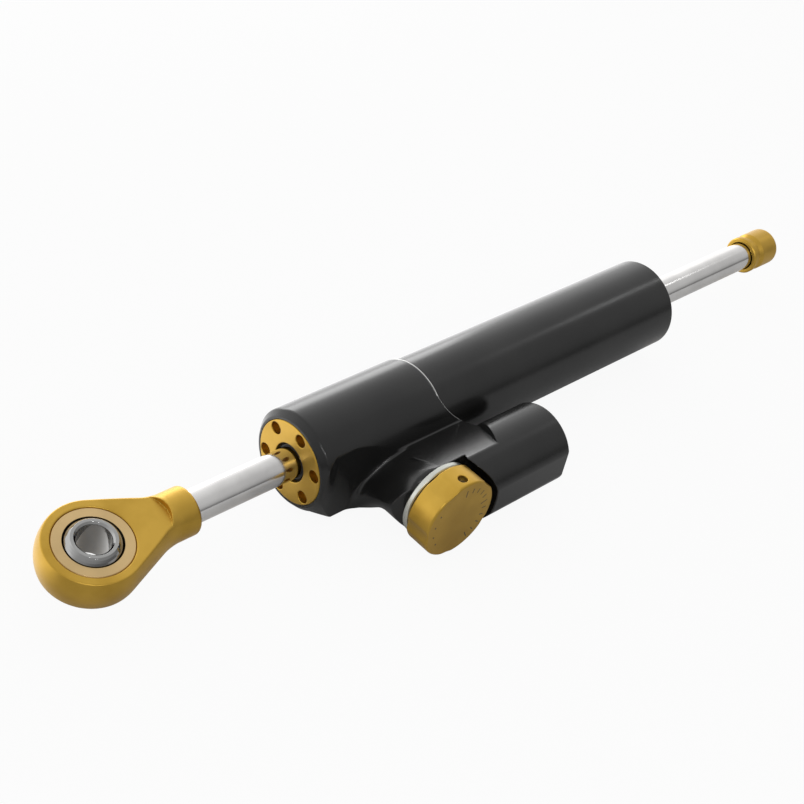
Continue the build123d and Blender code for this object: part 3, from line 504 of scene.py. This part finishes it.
def barrelShape(x, y, z, rodR):
    barrel = rodR - body["barrelR"]
    corner = np.maximum(span(y, body["cornerY"], 0), span(z, body["bottomZ"], 0))
    barrel = np.minimum(barrel, corner)
    barrel = roundBoth(barrel, x - body["endX"], body["endEdges"][0])
    bevel = rodR - (body["barrelR"] - body["endBevel"] + body["endX"] - x)
    barrel = roundBoth(barrel, bevel * slant, body["endEdges"][1])
    under = (np.abs(z) - sweptEdge(x)) * body["skinSlack"]
    skin = np.maximum(np.maximum(rodR - body["barrelR"], y), under)
    return np.minimum(barrel, np.maximum(skin, span(x, body["skinX"], body["webEndX"])))


def chamberShape(x, y, z):
    chamber = np.hypot(y - chamberY, z) - body["chamberR"]
    chamber = roundBoth(chamber, body["flatY"] - y, body["chamberEdges"][0])
    chamber = roundBoth(chamber, x - body["chamberEndX"], body["chamberEdges"][1])
    return np.maximum(chamber, knobX - x)


def wallShape(x, y, z):
    # the wall behind the boss, milled into the barrel and swept back out of it
    bend = np.clip(between(x, body["wallBend"]), 0, 1)
    sweep = body["wallSweep"] * np.sin(math.pi / 2 * bend) ** body["wallCurve"]
    scoopY = body["wallY"] - sweep - body["wallLean"] * (body["wallZ"] - z)
    return body["sideY"] + (scoopY - body["sideY"]) * ease(between(x, body["wallStart"])) - y


def bodyShape(x, y, z):
    edge = body["edge"]
    rodR = np.hypot(y, z)
    knobR = np.hypot(x - knobX, z)
    angle = math.radians(body["topAngle"])
    height = (z - body["topZ"]) * math.cos(angle) - (-y - body["topY"]) * math.sin(angle)
    stepX = mixed(body["stepX"], np.clip(between(y, body["stepY"]), 0, 1))
    # stock: barrel and side block milled to a slope above; only the chamber stands past the slope
    block = np.maximum(height, body["bottomZ"] - z)
    block = np.maximum(block, np.maximum(y - body["blockY"], x - body["webEndX"]))
    stock = roundUnion(barrelShape(x, y, z, rodR), block, body["creaseR"])
    chamber = chamberShape(x, y, z)
    stock = np.minimum(stock, np.maximum(chamber - body["chamberSpare"], stepX - x))
    # boss and web, coved into the wall, under a brow that falls away to the front
    boss = np.maximum(knobR - body["bossR"], body["seatY"] - y)
    web = np.maximum(span(x, knobX, body["webEndX"]), np.maximum(chamberY - y, z - body["webTopZ"]))
    browX = body["browX"] - body["browSweep"] * ease(between(y, body["browY"]))
    out = np.maximum(browX - x, 0)
    top = height + body["browFall"][0] * out + body["browFall"][1] * out ** 2
    wall = wallShape(x, y, z)
    coveR = mixed(body["coveR"], ease(between(x, body["coveX"])))
    browEdge = edge + body["browRound"] * ease(out / body["browRun"])
    side = roundUnion(wall, np.minimum(boss, web), coveR)
    side = roundBoth(side, top * body["topSlack"], browEdge)
    facing = np.minimum(height * body["topSlack"], (stepX - x) * body["stepSlack"])
    side = np.minimum(side, roundBoth(chamber, facing, edge))
    solid = roundBoth(stock, roundUnion(wall, side, body["footR"]), edge)
    solid = roundBoth(solid, np.minimum(body["bottomZ"] - z, rodR - body["barrelR"]), edge)
    # front bevel and face, and the recess behind the knob
    bevel = (rodR - (body["faceR"] + x - body["faceX"])) * slant
    solid = roundBoth(solid, bevel, body["faceEdges"][0])
    solid = roundBoth(solid, body["faceX"] - x, body["faceEdges"][1])
    recess = np.maximum(knobR - body["recessR"], y - body["seatY"])
    solid = roundCut(solid, recess, body["recessEdge"])
    # bores for caps, sleeve and tube, then for the chamber, then for the adjuster
    for radius, low, high in body["rodBores"]:
        solid = np.maximum(solid, -np.maximum(rodR - radius, span(x, low, high)))
    solid = roundCut(solid, np.maximum(rodR - body["reliefR"], body["endX"] - x), body["lipEdge"])
    chamberR = np.hypot(y - chamberY, z)
    radius, start = body["chamberBore"]
    solid = roundCut(solid, np.maximum(chamberR - radius, start - x), body["chamberBoreEdge"])
    radius, low, high = body["clipGroove"]
    solid = np.maximum(solid, -np.maximum(chamberR - radius, span(x, low, high)))
    for radius, floorY in body["adjusterBores"]:
        solid = np.maximum(solid, -np.maximum(knobR - radius, y - floorY))
    return solid


damperBody = shapeMesh("damperBody", bodyShape, body)
place(damperBody, "root", "black", blackBody, "damper_body")

# bright bare-metal strip where the body's skin ends against the tube: a painted highlight along this edge
lip = {"low": 15.55, "high": 16.1, "back": 0.15, "proud": 0.07,
       "ringX": 117.0, "ringSteps": 220, "sideSteps": 40, "sideCurve": 1.6}


def lipPath():
    # (x, angle) along one side, round the ring and back along the other side
    barrelR = body["barrelR"]
    side = []
    for k in range(1, lip["sideSteps"] + 1):
        x = mixed((lip["ringX"], body["webEndX"]), (k / lip["sideSteps"]) ** lip["sideCurve"])
        side.append((x, math.asin(sweptEdge(x) / barrelR)))
    turnEnd = math.pi - math.asin(sweptEdge(lip["ringX"]) / barrelR)
    ring = [(lip["ringX"], -turnEnd + 2 * turnEnd * k / lip["ringSteps"])
            for k in range(lip["ringSteps"] + 1)]
    back = [(x, t - math.pi) for x, t in reversed(side)]
    return back + ring + [(x, math.pi - t) for x, t in side]


def makeLip():
    path = lipPath()
    points, faces = [], []
    for i, (x, t) in enumerate(path):
        x0, t0 = path[max(i - 1, 0)]
        x1, t1 = path[min(i + 1, len(path) - 1)]
        alongX, alongT = x1 - x0, (t1 - t0) * body["barrelR"]
        size = math.hypot(alongX, alongT)
        outX, outT = abs(alongT) / size, -abs(alongX) / size / body["barrelR"]
        for r in (lip["low"], lip["high"]):
            for push in (-lip["back"], lip["proud"]):
                turn = t + outT * push
                points.append(Vector((x + outX * push, r * math.cos(turn), r * math.sin(turn))) * mm)
    for i in range(len(path) - 1):
        a, b = 4 * i, 4 * i + 4
        for p, q in ((0, 1), (1, 3), (3, 2), (2, 0)):
            faces.append((a + p, a + q, b + q, b + p))
    last = 4 * (len(path) - 1)
    faces += [(0, 2, 3, 1), (last, last + 1, last + 3, last + 2)]
    # the strip is a painted highlight: bright metal laid along the edge where the photo shows a highlight
    piece = newPiece("paintedHighlightLip", points, faces)
    turnOut(piece)
    place(piece, "root", "bare_alloy", steel["machinedAluminium"])


makeLip()
print("body made,", len(damperBody.data.polygons), "faces")

# rod end: round head with two flats, conical neck and shank
eye = {
    "box": ((-15.2, -15.3, -8.2), (34, 15.3, 8.2)), "cells": (0.3, 0.7),
    "headR": 15.0, "halfWidth": 5.5, "flatR": 7.95, "flatX": 16.5, "flatLong": 7.0, "flatEdge": 0.35,
    "flatPast": 2.0,
    "neckX": 22.0, "neckPast": 1.5, "neckRound": 1.2,
    "shankX": 10.0, "shankR": 7.4, "endX": 32.0, "endRound": 1.3,
    "seatR": 11.45, "seatEdge": 0.45, "boreR": 4.0, "boreX": 15.6,
}


def eyeShape(x, across, up):
    y = across * math.cos(rollEye) + up * math.sin(rollEye)
    z = -across * math.sin(rollEye) + up * math.cos(rollEye)
    rodR = np.hypot(y, z)
    head = np.sqrt(x * x + rodR * rodR) - eye["headR"]
    # cone that touches the head and ends on the shank at neckX
    reach = math.hypot(eye["neckX"], eye["shankR"])
    touch = math.asin(eye["shankR"] / reach) + math.pi / 2 - math.asin(eye["headR"] / reach)
    touchX, touchR = eye["headR"] * math.cos(touch), eye["headR"] * math.sin(touch)
    slope = (eye["shankR"] - touchR) / (eye["neckX"] - touchX)
    cone = (rodR - (touchR + slope * (x - touchX))) / math.hypot(1, slope)
    cone = np.maximum(cone, span(x, touchX, eye["neckX"] + eye["neckPast"]))
    shank = roundBoth(rodR - eye["shankR"], x - eye["endX"], eye["endRound"])
    shank = np.maximum(shank, eye["shankX"] - x)
    solid = roundUnion(np.minimum(head, cone), shank, eye["neckRound"])
    # the flats run out in an arc over the neck
    flat = np.abs(z) - eye["halfWidth"]
    runOut = np.maximum(x - eye["flatX"], 0) * eye["flatR"] / eye["flatLong"]
    plan = np.where(x < eye["flatX"], -eye["flatPast"], np.hypot(runOut, y) - eye["flatR"])
    solid = roundCut(solid, np.maximum(-flat, plan), eye["flatEdge"])
    solid = roundCut(solid, np.hypot(x, y) - eye["seatR"], eye["seatEdge"])
    return np.maximum(solid, -np.maximum(rodR - eye["boreR"], eye["boreX"] - x))


place(shapeMesh("rodEnd", eyeShape, eye), "rod", "gold", goldEye, "rod_end")

# outer ring of the ball joint, hollow like the ball
race = {"half": 5.35, "lipR": 8.38, "r": 11.42, "bevel": (0.3, 0.27),
        "hollowR": 9.93, "hollowHalf": 4.9, "arcSteps": 12, "sides": 160, "rounding": 0.1}


def raceOutline():
    half, bevelX = race["half"], race["half"] - race["bevel"][0]
    bevelR = race["r"] - race["bevel"][1]
    outline = [(-half, race["lipR"]), (-half, bevelR), (-bevelX, race["r"]),
               (bevelX, race["r"]), (half, bevelR), (half, race["lipR"])]
    for k in range(1, race["arcSteps"]):
        a = race["hollowHalf"] * (1 - 2 * k / race["arcSteps"])
        outline.append((a, math.sqrt(race["hollowR"] ** 2 - a * a)))
    return outline


eyeRace = turnedMesh("eyeRace", raceOutline(), throughEye, race)
place(eyeRace, "rod", "race", steel["raceSteel"], "bearing_race")

ball = {"half": 7.0, "r": 9.525, "faceR": 6.46, "boreR": 5.0, "boreBevel": 0.6,
        "arcSteps": 24, "sides": 160, "rounding": 0.08}


def ballOutline():
    half, bevel = ball["half"], ball["boreBevel"]
    outline = [(-half, ball["boreR"] + bevel), (-half, ball["faceR"])]
    for k in range(1, ball["arcSteps"]):
        a = half * (2 * k / ball["arcSteps"] - 1)
        outline.append((a, math.sqrt(ball["r"] ** 2 - a * a)))
    outline += [(half, ball["faceR"]), (half, ball["boreR"] + bevel)]
    return outline + [(half - bevel, ball["boreR"]), (bevel - half, ball["boreR"])]


eyeBall = turnedMesh("eyeBall", ballOutline(), throughEye, ball)
place(eyeBall, "ball", "ball_steel", steel["polishedBall"], "bearing_ball")
print("rod end made")

# rod, with two clip grooves beside the piston and a thinner stub at each end
rod = {"x": (16.1, 302.7), "stubR": 4.0, "stubBevel": 0.5, "fullX": (32.0, 291.7), "r": 5.0,
       "grooves": (153.9, 169.0), "grooveWide": 1.1, "grooveR": 4.4, "sides": 128, "rounding": 0.06}


def rodOutline():
    (start, end), (low, high) = rod["x"], rod["fullX"]
    bevel, stubR = rod["stubBevel"], rod["stubR"]
    outline = [(start, 0), (start, stubR - bevel), (start + bevel, stubR), (low, stubR), (low, rod["r"])]
    for x in rod["grooves"]:
        past = x + rod["grooveWide"]
        outline += [(x, rod["r"]), (x, rod["grooveR"]), (past, rod["grooveR"]), (past, rod["r"])]
    outline += [(high, rod["r"]), (high, stubR), (end - bevel, stubR)]
    return outline + [(end, stubR - bevel), (end, 0)]


pistonRod = turnedMesh("pistonRod", rodOutline(), alongRod, rod, closed=False)
place(pistonRod, "rod", "chrome", steel["chromedRod"], "piston_rod")

nut = {
    "seat": (291.7, 5.1),
    "profile": ((290.5, 5.35), (290.5, 6.35), (290.95, 6.8), (292.4, 6.8), (293.2, 5.95),
                (294.6, 5.95), (296.0, 6.8), (303.5, 6.8)),  # flange, waist and head
    "endRound": 1.9, "arcSteps": 6, "sides": 128, "rounding": 0.15,
}


def nutOutline():
    outline = [nut["seat"], *nut["profile"]]
    x, r = outline[-1]
    for k in range(1, nut["arcSteps"] + 1):
        t = math.pi / 2 * k / nut["arcSteps"]
        outline.append((x + nut["endRound"] * math.sin(t), r - nut["endRound"] * (1 - math.cos(t))))
    return outline + [(x + nut["endRound"], 0)]


stopNut = turnedMesh("stopNut", nutOutline(), alongRod, nut, closed=False)
place(stopNut, "rod", "gold", goldNut, "stop_nut")
print("rod made")

# outer tube: the spigot goes into the body, the far end holds the rear cap
tube = {
    "startX": 109.0, "boreR": 13.5, "spigotR": 14.53, "shoulder": ((117.0, 14.53), (117.0, 14.7)),
    "taper": ((117.6, 15.35), (122.0, 15.33), (128.0, 15.3)), "r": 15.3, "endX": 230.0, "endBevel": 0.7,
    "capSeatX": 226.6, "landX": 212.0, "landR": 12.2, "sides": 192, "rounding": 0.15,
}
tubeOutline = [
    (tube["startX"], tube["boreR"]), (tube["startX"], tube["spigotR"]), *tube["shoulder"], *tube["taper"],
    (tube["endX"] - tube["endBevel"], tube["r"]), (tube["endX"], tube["r"] - tube["endBevel"]),
    (tube["endX"], tube["boreR"]), (tube["capSeatX"], tube["boreR"]), (tube["capSeatX"], tube["landR"]),
    (tube["landX"], tube["landR"]), (tube["landX"], tube["boreR"]),
]
outerTube = turnedMesh("outerTube", tubeOutline, alongRod, tube)
place(outerTube, "root", "black", blackTube, "outer_tube")

# end caps: spanner holes with softened rims
cap = {
    "frontX": 68.8, "rearX": 230.2, "cells": (0.27, 0.5), "boxR": 13.6,
    "r": 13.45, "edge": 0.4, "flange": 3.3, "bodyR": 12.1, "bodyDepth": (1, 15.2),
    "mouthR": 6.25, "mouthDepth": 1.7, "mouthEdge": 0.25,
    "wiperR": 8.0, "wiperDepth": (1.6, 4.6), "boreR": 7.2, "boreDepth": 4.4,
    "holes": 6, "ringR": 10.9, "holeR": 2.0, "holeDepth": 2.6, "holeEdge": 0.22, "phase": 14.5,
}


def makeCap(name, node, faceX, way):
    def capShape(x, y, z):
        depth = (x - faceX) * way
        r = np.hypot(y, z)
        solid = np.maximum(roundBoth(r - cap["r"], -depth, cap["edge"]), depth - cap["flange"])
        solid = np.minimum(solid, np.maximum(r - cap["bodyR"], span(depth, *cap["bodyDepth"])))
        mouth = np.maximum(r - cap["mouthR"], depth - cap["mouthDepth"])
        solid = roundCut(solid, mouth, cap["mouthEdge"])
        solid = np.maximum(solid, -np.maximum(r - cap["wiperR"], span(depth, *cap["wiperDepth"])))
        solid = np.maximum(solid, -np.maximum(r - cap["boreR"], cap["boreDepth"] - depth))
        for k in range(cap["holes"]):
            t = math.radians(cap["phase"] + 360 * k / cap["holes"])
            hole = np.hypot(y + cap["ringR"] * math.cos(t), z - cap["ringR"] * math.sin(t))
            hole = np.maximum(hole - cap["holeR"], depth - cap["holeDepth"])
            solid = roundCut(solid, hole, cap["holeEdge"])
        return solid

    boxR, length = cap["boxR"], cap["bodyDepth"][1]
    low = min(faceX, faceX + way * length)
    look = {"box": ((low, -boxR, -boxR), (low + length, boxR, boxR)), "cells": cap["cells"]}
    place(shapeMesh(name, capShape, look), "root", "gold", goldCap, node)


makeCap("frontCap", "front_cap", cap["frontX"], 1)
makeCap("rearCap", "rear_cap", cap["rearX"], -1)
print("caps made")

# silver collar under the knob
collar = {"depth": (33.5, 35.5), "boreR": 8.3, "r": 12.4, "bevel": 0.4, "sides": 160, "rounding": 0.12}
(low, high), bevel = collar["depth"], collar["bevel"]
collarOutline = [
    (low, collar["boreR"]), (low, collar["r"] - bevel), (low + bevel, collar["r"]),
    (high - bevel, collar["r"]), (high, collar["r"] - bevel), (high, collar["boreR"]),
]
adjusterCollar = turnedMesh("adjusterCollar", collarOutline, atKnob, collar)
place(adjusterCollar, "root", "silver", steel["turnedAluminium"], "adjuster_collar")

# adjuster knob: shallow flutes, a hollow behind and a hole for the grub screw
knob = {
    "box": ((knobX - 13.6, -45, -13.6), (knobX + 13.6, -36, 13.6)), "cells": (0.22, 0.5),
    "r": 13.3, "base": 36.2, "face": 44.8, "edges": (0.7, 0.5),
    "flutes": 5, "phase": -28.0, "fluteR": 11.0, "fluteDepth": 0.6, "fluteEdge": 0.25,
    "cavityR": 10.4, "cavity": 2.4,
    "grubR": 1.5, "grubDepth": 41.8, "grubAngle": 88.0, "grubFrom": 2.5, "grubEdge": 0.2,
}


def knobShape(x, y, z):
    depth = -y
    fromX = x - knobX
    r = np.hypot(fromX, z)
    solid = roundBoth(r - knob["r"], depth - knob["face"], knob["edges"][0])
    solid = roundBoth(solid, knob["base"] - depth, knob["edges"][1])
    reach = knob["r"] + knob["fluteR"] - knob["fluteDepth"]
    for k in range(knob["flutes"]):
        t = math.radians(knob["phase"] + 360 * k / knob["flutes"])
        flute = np.hypot(fromX - reach * math.cos(t), z - reach * math.sin(t)) - knob["fluteR"]
        solid = roundCut(solid, flute, knob["fluteEdge"])
    cavity = np.maximum(r - knob["cavityR"], depth - knob["base"] - knob["cavity"])
    solid = np.maximum(solid, -cavity)
    t = math.radians(knob["grubAngle"])
    along = fromX * math.cos(t) + z * math.sin(t)
    across = np.hypot(-fromX * math.sin(t) + z * math.cos(t), depth - knob["grubDepth"])
    hole = np.maximum(across - knob["grubR"], knob["grubFrom"] - along)
    return roundCut(solid, hole, knob["grubEdge"])


place(shapeMesh("adjusterKnob", knobShape, knob), "knob", "gold", goldKnob, "adjuster_knob")

# plain dial marks on the knob's face: short strokes at the right, dots at the left
marks = {
    "strokes": 11, "from": -62.0, "to": 88.0, "strokeR": (9.3, 10.9), "width": 0.32,
    "longEvery": 5, "longBy": 0.9,
    "dots": (150.0, 172.0, 194.0, 216.0), "dotsR": 10.3, "dotR": 0.3, "dotSides": 16,
    "sunk": 0.1, "proud": 0.02,
}


def makeMarks():
    points, faces = [], []

    def slab(outline):
        # a thin plate through the face, from its outline round the knob's axis
        first, count = len(points), len(outline)
        for depth in (knob["face"] - marks["sunk"], knob["face"] + marks["proud"]):
            points.extend(Vector((knobX + a, -depth, b)) * mm for a, b in outline)
        faces.append(list(range(first, first + count)))
        faces.append(list(range(first + 2 * count - 1, first + count - 1, -1)))
        for k in range(count):
            n = (k + 1) % count
            faces.append([first + k, first + count + k, first + count + n, first + n])

    low, high = marks["strokeR"]
    half = marks["width"] / 2
    for k in range(marks["strokes"]):
        t = math.radians(mixed((marks["from"], marks["to"]), k / (marks["strokes"] - 1)))
        inner = low - (0 if k % marks["longEvery"] else marks["longBy"])
        corners = ((inner, -half), (high, -half), (high, half), (inner, half))
        slab([(r * math.cos(t) - s * math.sin(t), r * math.sin(t) + s * math.cos(t)) for r, s in corners])
    for angle in marks["dots"]:
        t = math.radians(angle)
        x, z = marks["dotsR"] * math.cos(t), marks["dotsR"] * math.sin(t)
        turns = [2 * math.pi * k / marks["dotSides"] for k in range(marks["dotSides"])]
        slab([(x + marks["dotR"] * math.cos(a), z + marks["dotR"] * math.sin(a)) for a in turns])
    piece = newPiece("dialMarks", points, faces)
    turnOut(piece)
    piece.data.shade_flat()
    place(piece, "knob", "gold", soft["dialInk"])


makeMarks()
print("adjuster made")

# camera at the photograph's angle: turn holds its right, down and forward directions
lens = {
    "turn": ((0.724832, -0.665947, 0.176446), (-0.329069, -0.559683, -0.760571),
             (0.605254, 0.493224, -0.624818)),
    "at": (-181.8536, -240.6339, 308.8819), "length": 70.914, "sensor": 36, "clip": (0.01, 20),
}
right, down, ahead = (Vector(v) for v in lens["turn"])
camera = bpy.data.objects.new("camera", bpy.data.cameras.new("camera"))
scene.collection.objects.link(camera)
turn = Matrix((right, -down, -ahead)).transposed().to_4x4()
camera.matrix_world = Matrix.Translation(Vector(lens["at"]) * mm) @ turn
camera.data.sensor_width = lens["sensor"]
camera.data.lens = lens["length"]
camera.data.clip_start, camera.data.clip_end = lens["clip"]
scene.camera = camera

# lamps, in metres and watts
lamps = {
    "backPanel": {"at": (0.25, 0.45, 0.08), "look": (0.10, 0, 0), "size": (0.45, 0.16), "watts": 0.6},
    "lineLamp": {"at": (1.30, -0.10, 1.05), "look": (0.16, 0, 0), "size": (0.16, 0.04), "watts": 0.25},
    "smallLamp": {"at": (-0.35, -0.45, 0.55), "look": (0.09, -0.02, 0), "size": (0.05, 0.05), "watts": 0.5},
    "smallLampTwo": {"at": (-0.15, -0.62, 0.50), "look": (0.09, -0.02, 0), "size": (0.05, 0.05), "watts": 0.5},
}
for name, lamp in lamps.items():
    light = bpy.data.lights.new(name, "AREA")
    light.shape = "RECTANGLE"
    light.size, light.size_y = lamp["size"]
    light.energy = lamp["watts"]
    holder = bpy.data.objects.new(name, light)
    holder.location = lamp["at"]
    aim = Vector(lamp["look"]) - Vector(lamp["at"])
    holder.rotation_euler = aim.to_track_quat("-Z", "Y").to_euler()
    scene.collection.objects.link(holder)

sweepLook = {
    "z": -0.0166, "reach": 3.0, "grey": 0.58,
    "seen": 0.93,  # how much of the floor the camera sees as plain white
    "riseY": (-0.005, 0.03), "glow": 1.1,  # glow that polished metal sees towards the back
}


def makeSweep():
    # pale floor that the camera sees as white, with the object's shadow kept
    finish = bpy.data.materials.new("paleFloor")
    finish.use_nodes = True
    tree = finish.node_tree
    tree.nodes.clear()
    out = addNode(tree, "ShaderNodeOutputMaterial")
    pale = addNode(tree, "ShaderNodeBsdfDiffuse")
    pale.inputs["Color"].default_value = (*[sweepLook["grey"]] * 3, 1)
    white = addNode(tree, "ShaderNodeEmission")
    white.inputs["Color"].default_value = (1, 1, 1, 1)
    ray = addNode(tree, "ShaderNodeLightPath")
    share = addNode(tree, "ShaderNodeMath", operation="MULTIPLY")
    share.inputs[1].default_value = sweepLook["seen"]
    mix = addNode(tree, "ShaderNodeMixShader")
    coord = addNode(tree, "ShaderNodeTexCoord")
    split = addNode(tree, "ShaderNodeSeparateXYZ")
    rise = addNode(tree, "ShaderNodeMapRange", interpolation_type="SMOOTHSTEP")
    rise.inputs["From Min"].default_value, rise.inputs["From Max"].default_value = sweepLook["riseY"]
    rise.inputs["To Max"].default_value = sweepLook["glow"]
    glossy = addNode(tree, "ShaderNodeMath", operation="MULTIPLY")
    back = addNode(tree, "ShaderNodeEmission")
    both = addNode(tree, "ShaderNodeAddShader")
    tree.links.new(coord.outputs["Object"], split.inputs[0])
    tree.links.new(split.outputs["Y"], rise.inputs["Value"])
    tree.links.new(rise.outputs["Result"], glossy.inputs[0])
    tree.links.new(ray.outputs["Is Glossy Ray"], glossy.inputs[1])
    tree.links.new(glossy.outputs[0], back.inputs["Strength"])
    tree.links.new(pale.outputs[0], both.inputs[0])
    tree.links.new(back.outputs[0], both.inputs[1])
    tree.links.new(ray.outputs["Is Camera Ray"], share.inputs[0])
    tree.links.new(share.outputs[0], mix.inputs["Fac"])
    tree.links.new(both.outputs[0], mix.inputs[1])
    tree.links.new(white.outputs[0], mix.inputs[2])
    tree.links.new(mix.outputs[0], out.inputs["Surface"])
    corners = ((-1, -1), (1, -1), (1, 1), (-1, 1))
    mesh = bpy.data.meshes.new("floor")
    mesh.from_pydata([(sweepLook["reach"] * a, sweepLook["reach"] * b, sweepLook["z"]) for a, b in corners],
                     [], [(0, 1, 2, 3)])
    floor = bpy.data.objects.new("floor", mesh)
    scene.collection.objects.link(floor)
    floor.data.materials.append(finish)


makeSweep()

# brightness of the room by the angle round the rod, from behind (+Y) over the top to the front and under
roomLook = {
    "brightest": 1.6,
    "steps": (
        (0, 1.5), (32, 1.46), (42, 1.23), (52, 1.08), (62, 1.0), (92, 0.81), (112, 0.69), (142, 0.63),
        (162, 0.5), (173, 0.24), (185, 0.2), (195, 0.42), (215, 0.58), (263, 0.68), (283, 0.92),
        (300, 1.1), (321, 1.45), (360, 1.5),
    ),
}


def makeRoom():
    # soft light from all round; the camera itself sees white
    world = bpy.data.worlds.new("studio")
    scene.world = world
    world.use_nodes = True
    tree = world.node_tree
    tree.nodes.clear()
    out = addNode(tree, "ShaderNodeOutputWorld")
    room = addNode(tree, "ShaderNodeBackground")
    room.inputs["Strength"].default_value = roomLook["brightest"]
    seen = addNode(tree, "ShaderNodeBackground")
    seen.inputs["Color"].default_value = (1, 1, 1, 1)
    coord = addNode(tree, "ShaderNodeTexCoord")
    split = addNode(tree, "ShaderNodeSeparateXYZ")
    angle = addNode(tree, "ShaderNodeMath", operation="ARCTAN2")
    turns = addNode(tree, "ShaderNodeMath", operation="DIVIDE")
    turns.inputs[1].default_value = 2 * math.pi
    whole = addNode(tree, "ShaderNodeMath", operation="FRACT")
    tree.links.new(coord.outputs["Generated"], split.inputs[0])
    tree.links.new(split.outputs["Z"], angle.inputs[0])
    tree.links.new(split.outputs["Y"], angle.inputs[1])
    tree.links.new(angle.outputs[0], turns.inputs[0])
    tree.links.new(turns.outputs[0], whole.inputs[0])
    stops = [(degrees / 360, (level / roomLook["brightest"],) * 3) for degrees, level in roomLook["steps"]]
    tree.links.new(ramped(tree, whole.outputs[0], stops), room.inputs["Color"])
    ray = addNode(tree, "ShaderNodeLightPath")
    mix = addNode(tree, "ShaderNodeMixShader")
    tree.links.new(ray.outputs["Is Camera Ray"], mix.inputs["Fac"])
    tree.links.new(room.outputs[0], mix.inputs[1])
    tree.links.new(seen.outputs[0], mix.inputs[2])
    tree.links.new(mix.outputs[0], out.inputs["Surface"])


makeRoom()
scene.view_settings.view_transform = "Standard"
print("camera and lamps set")
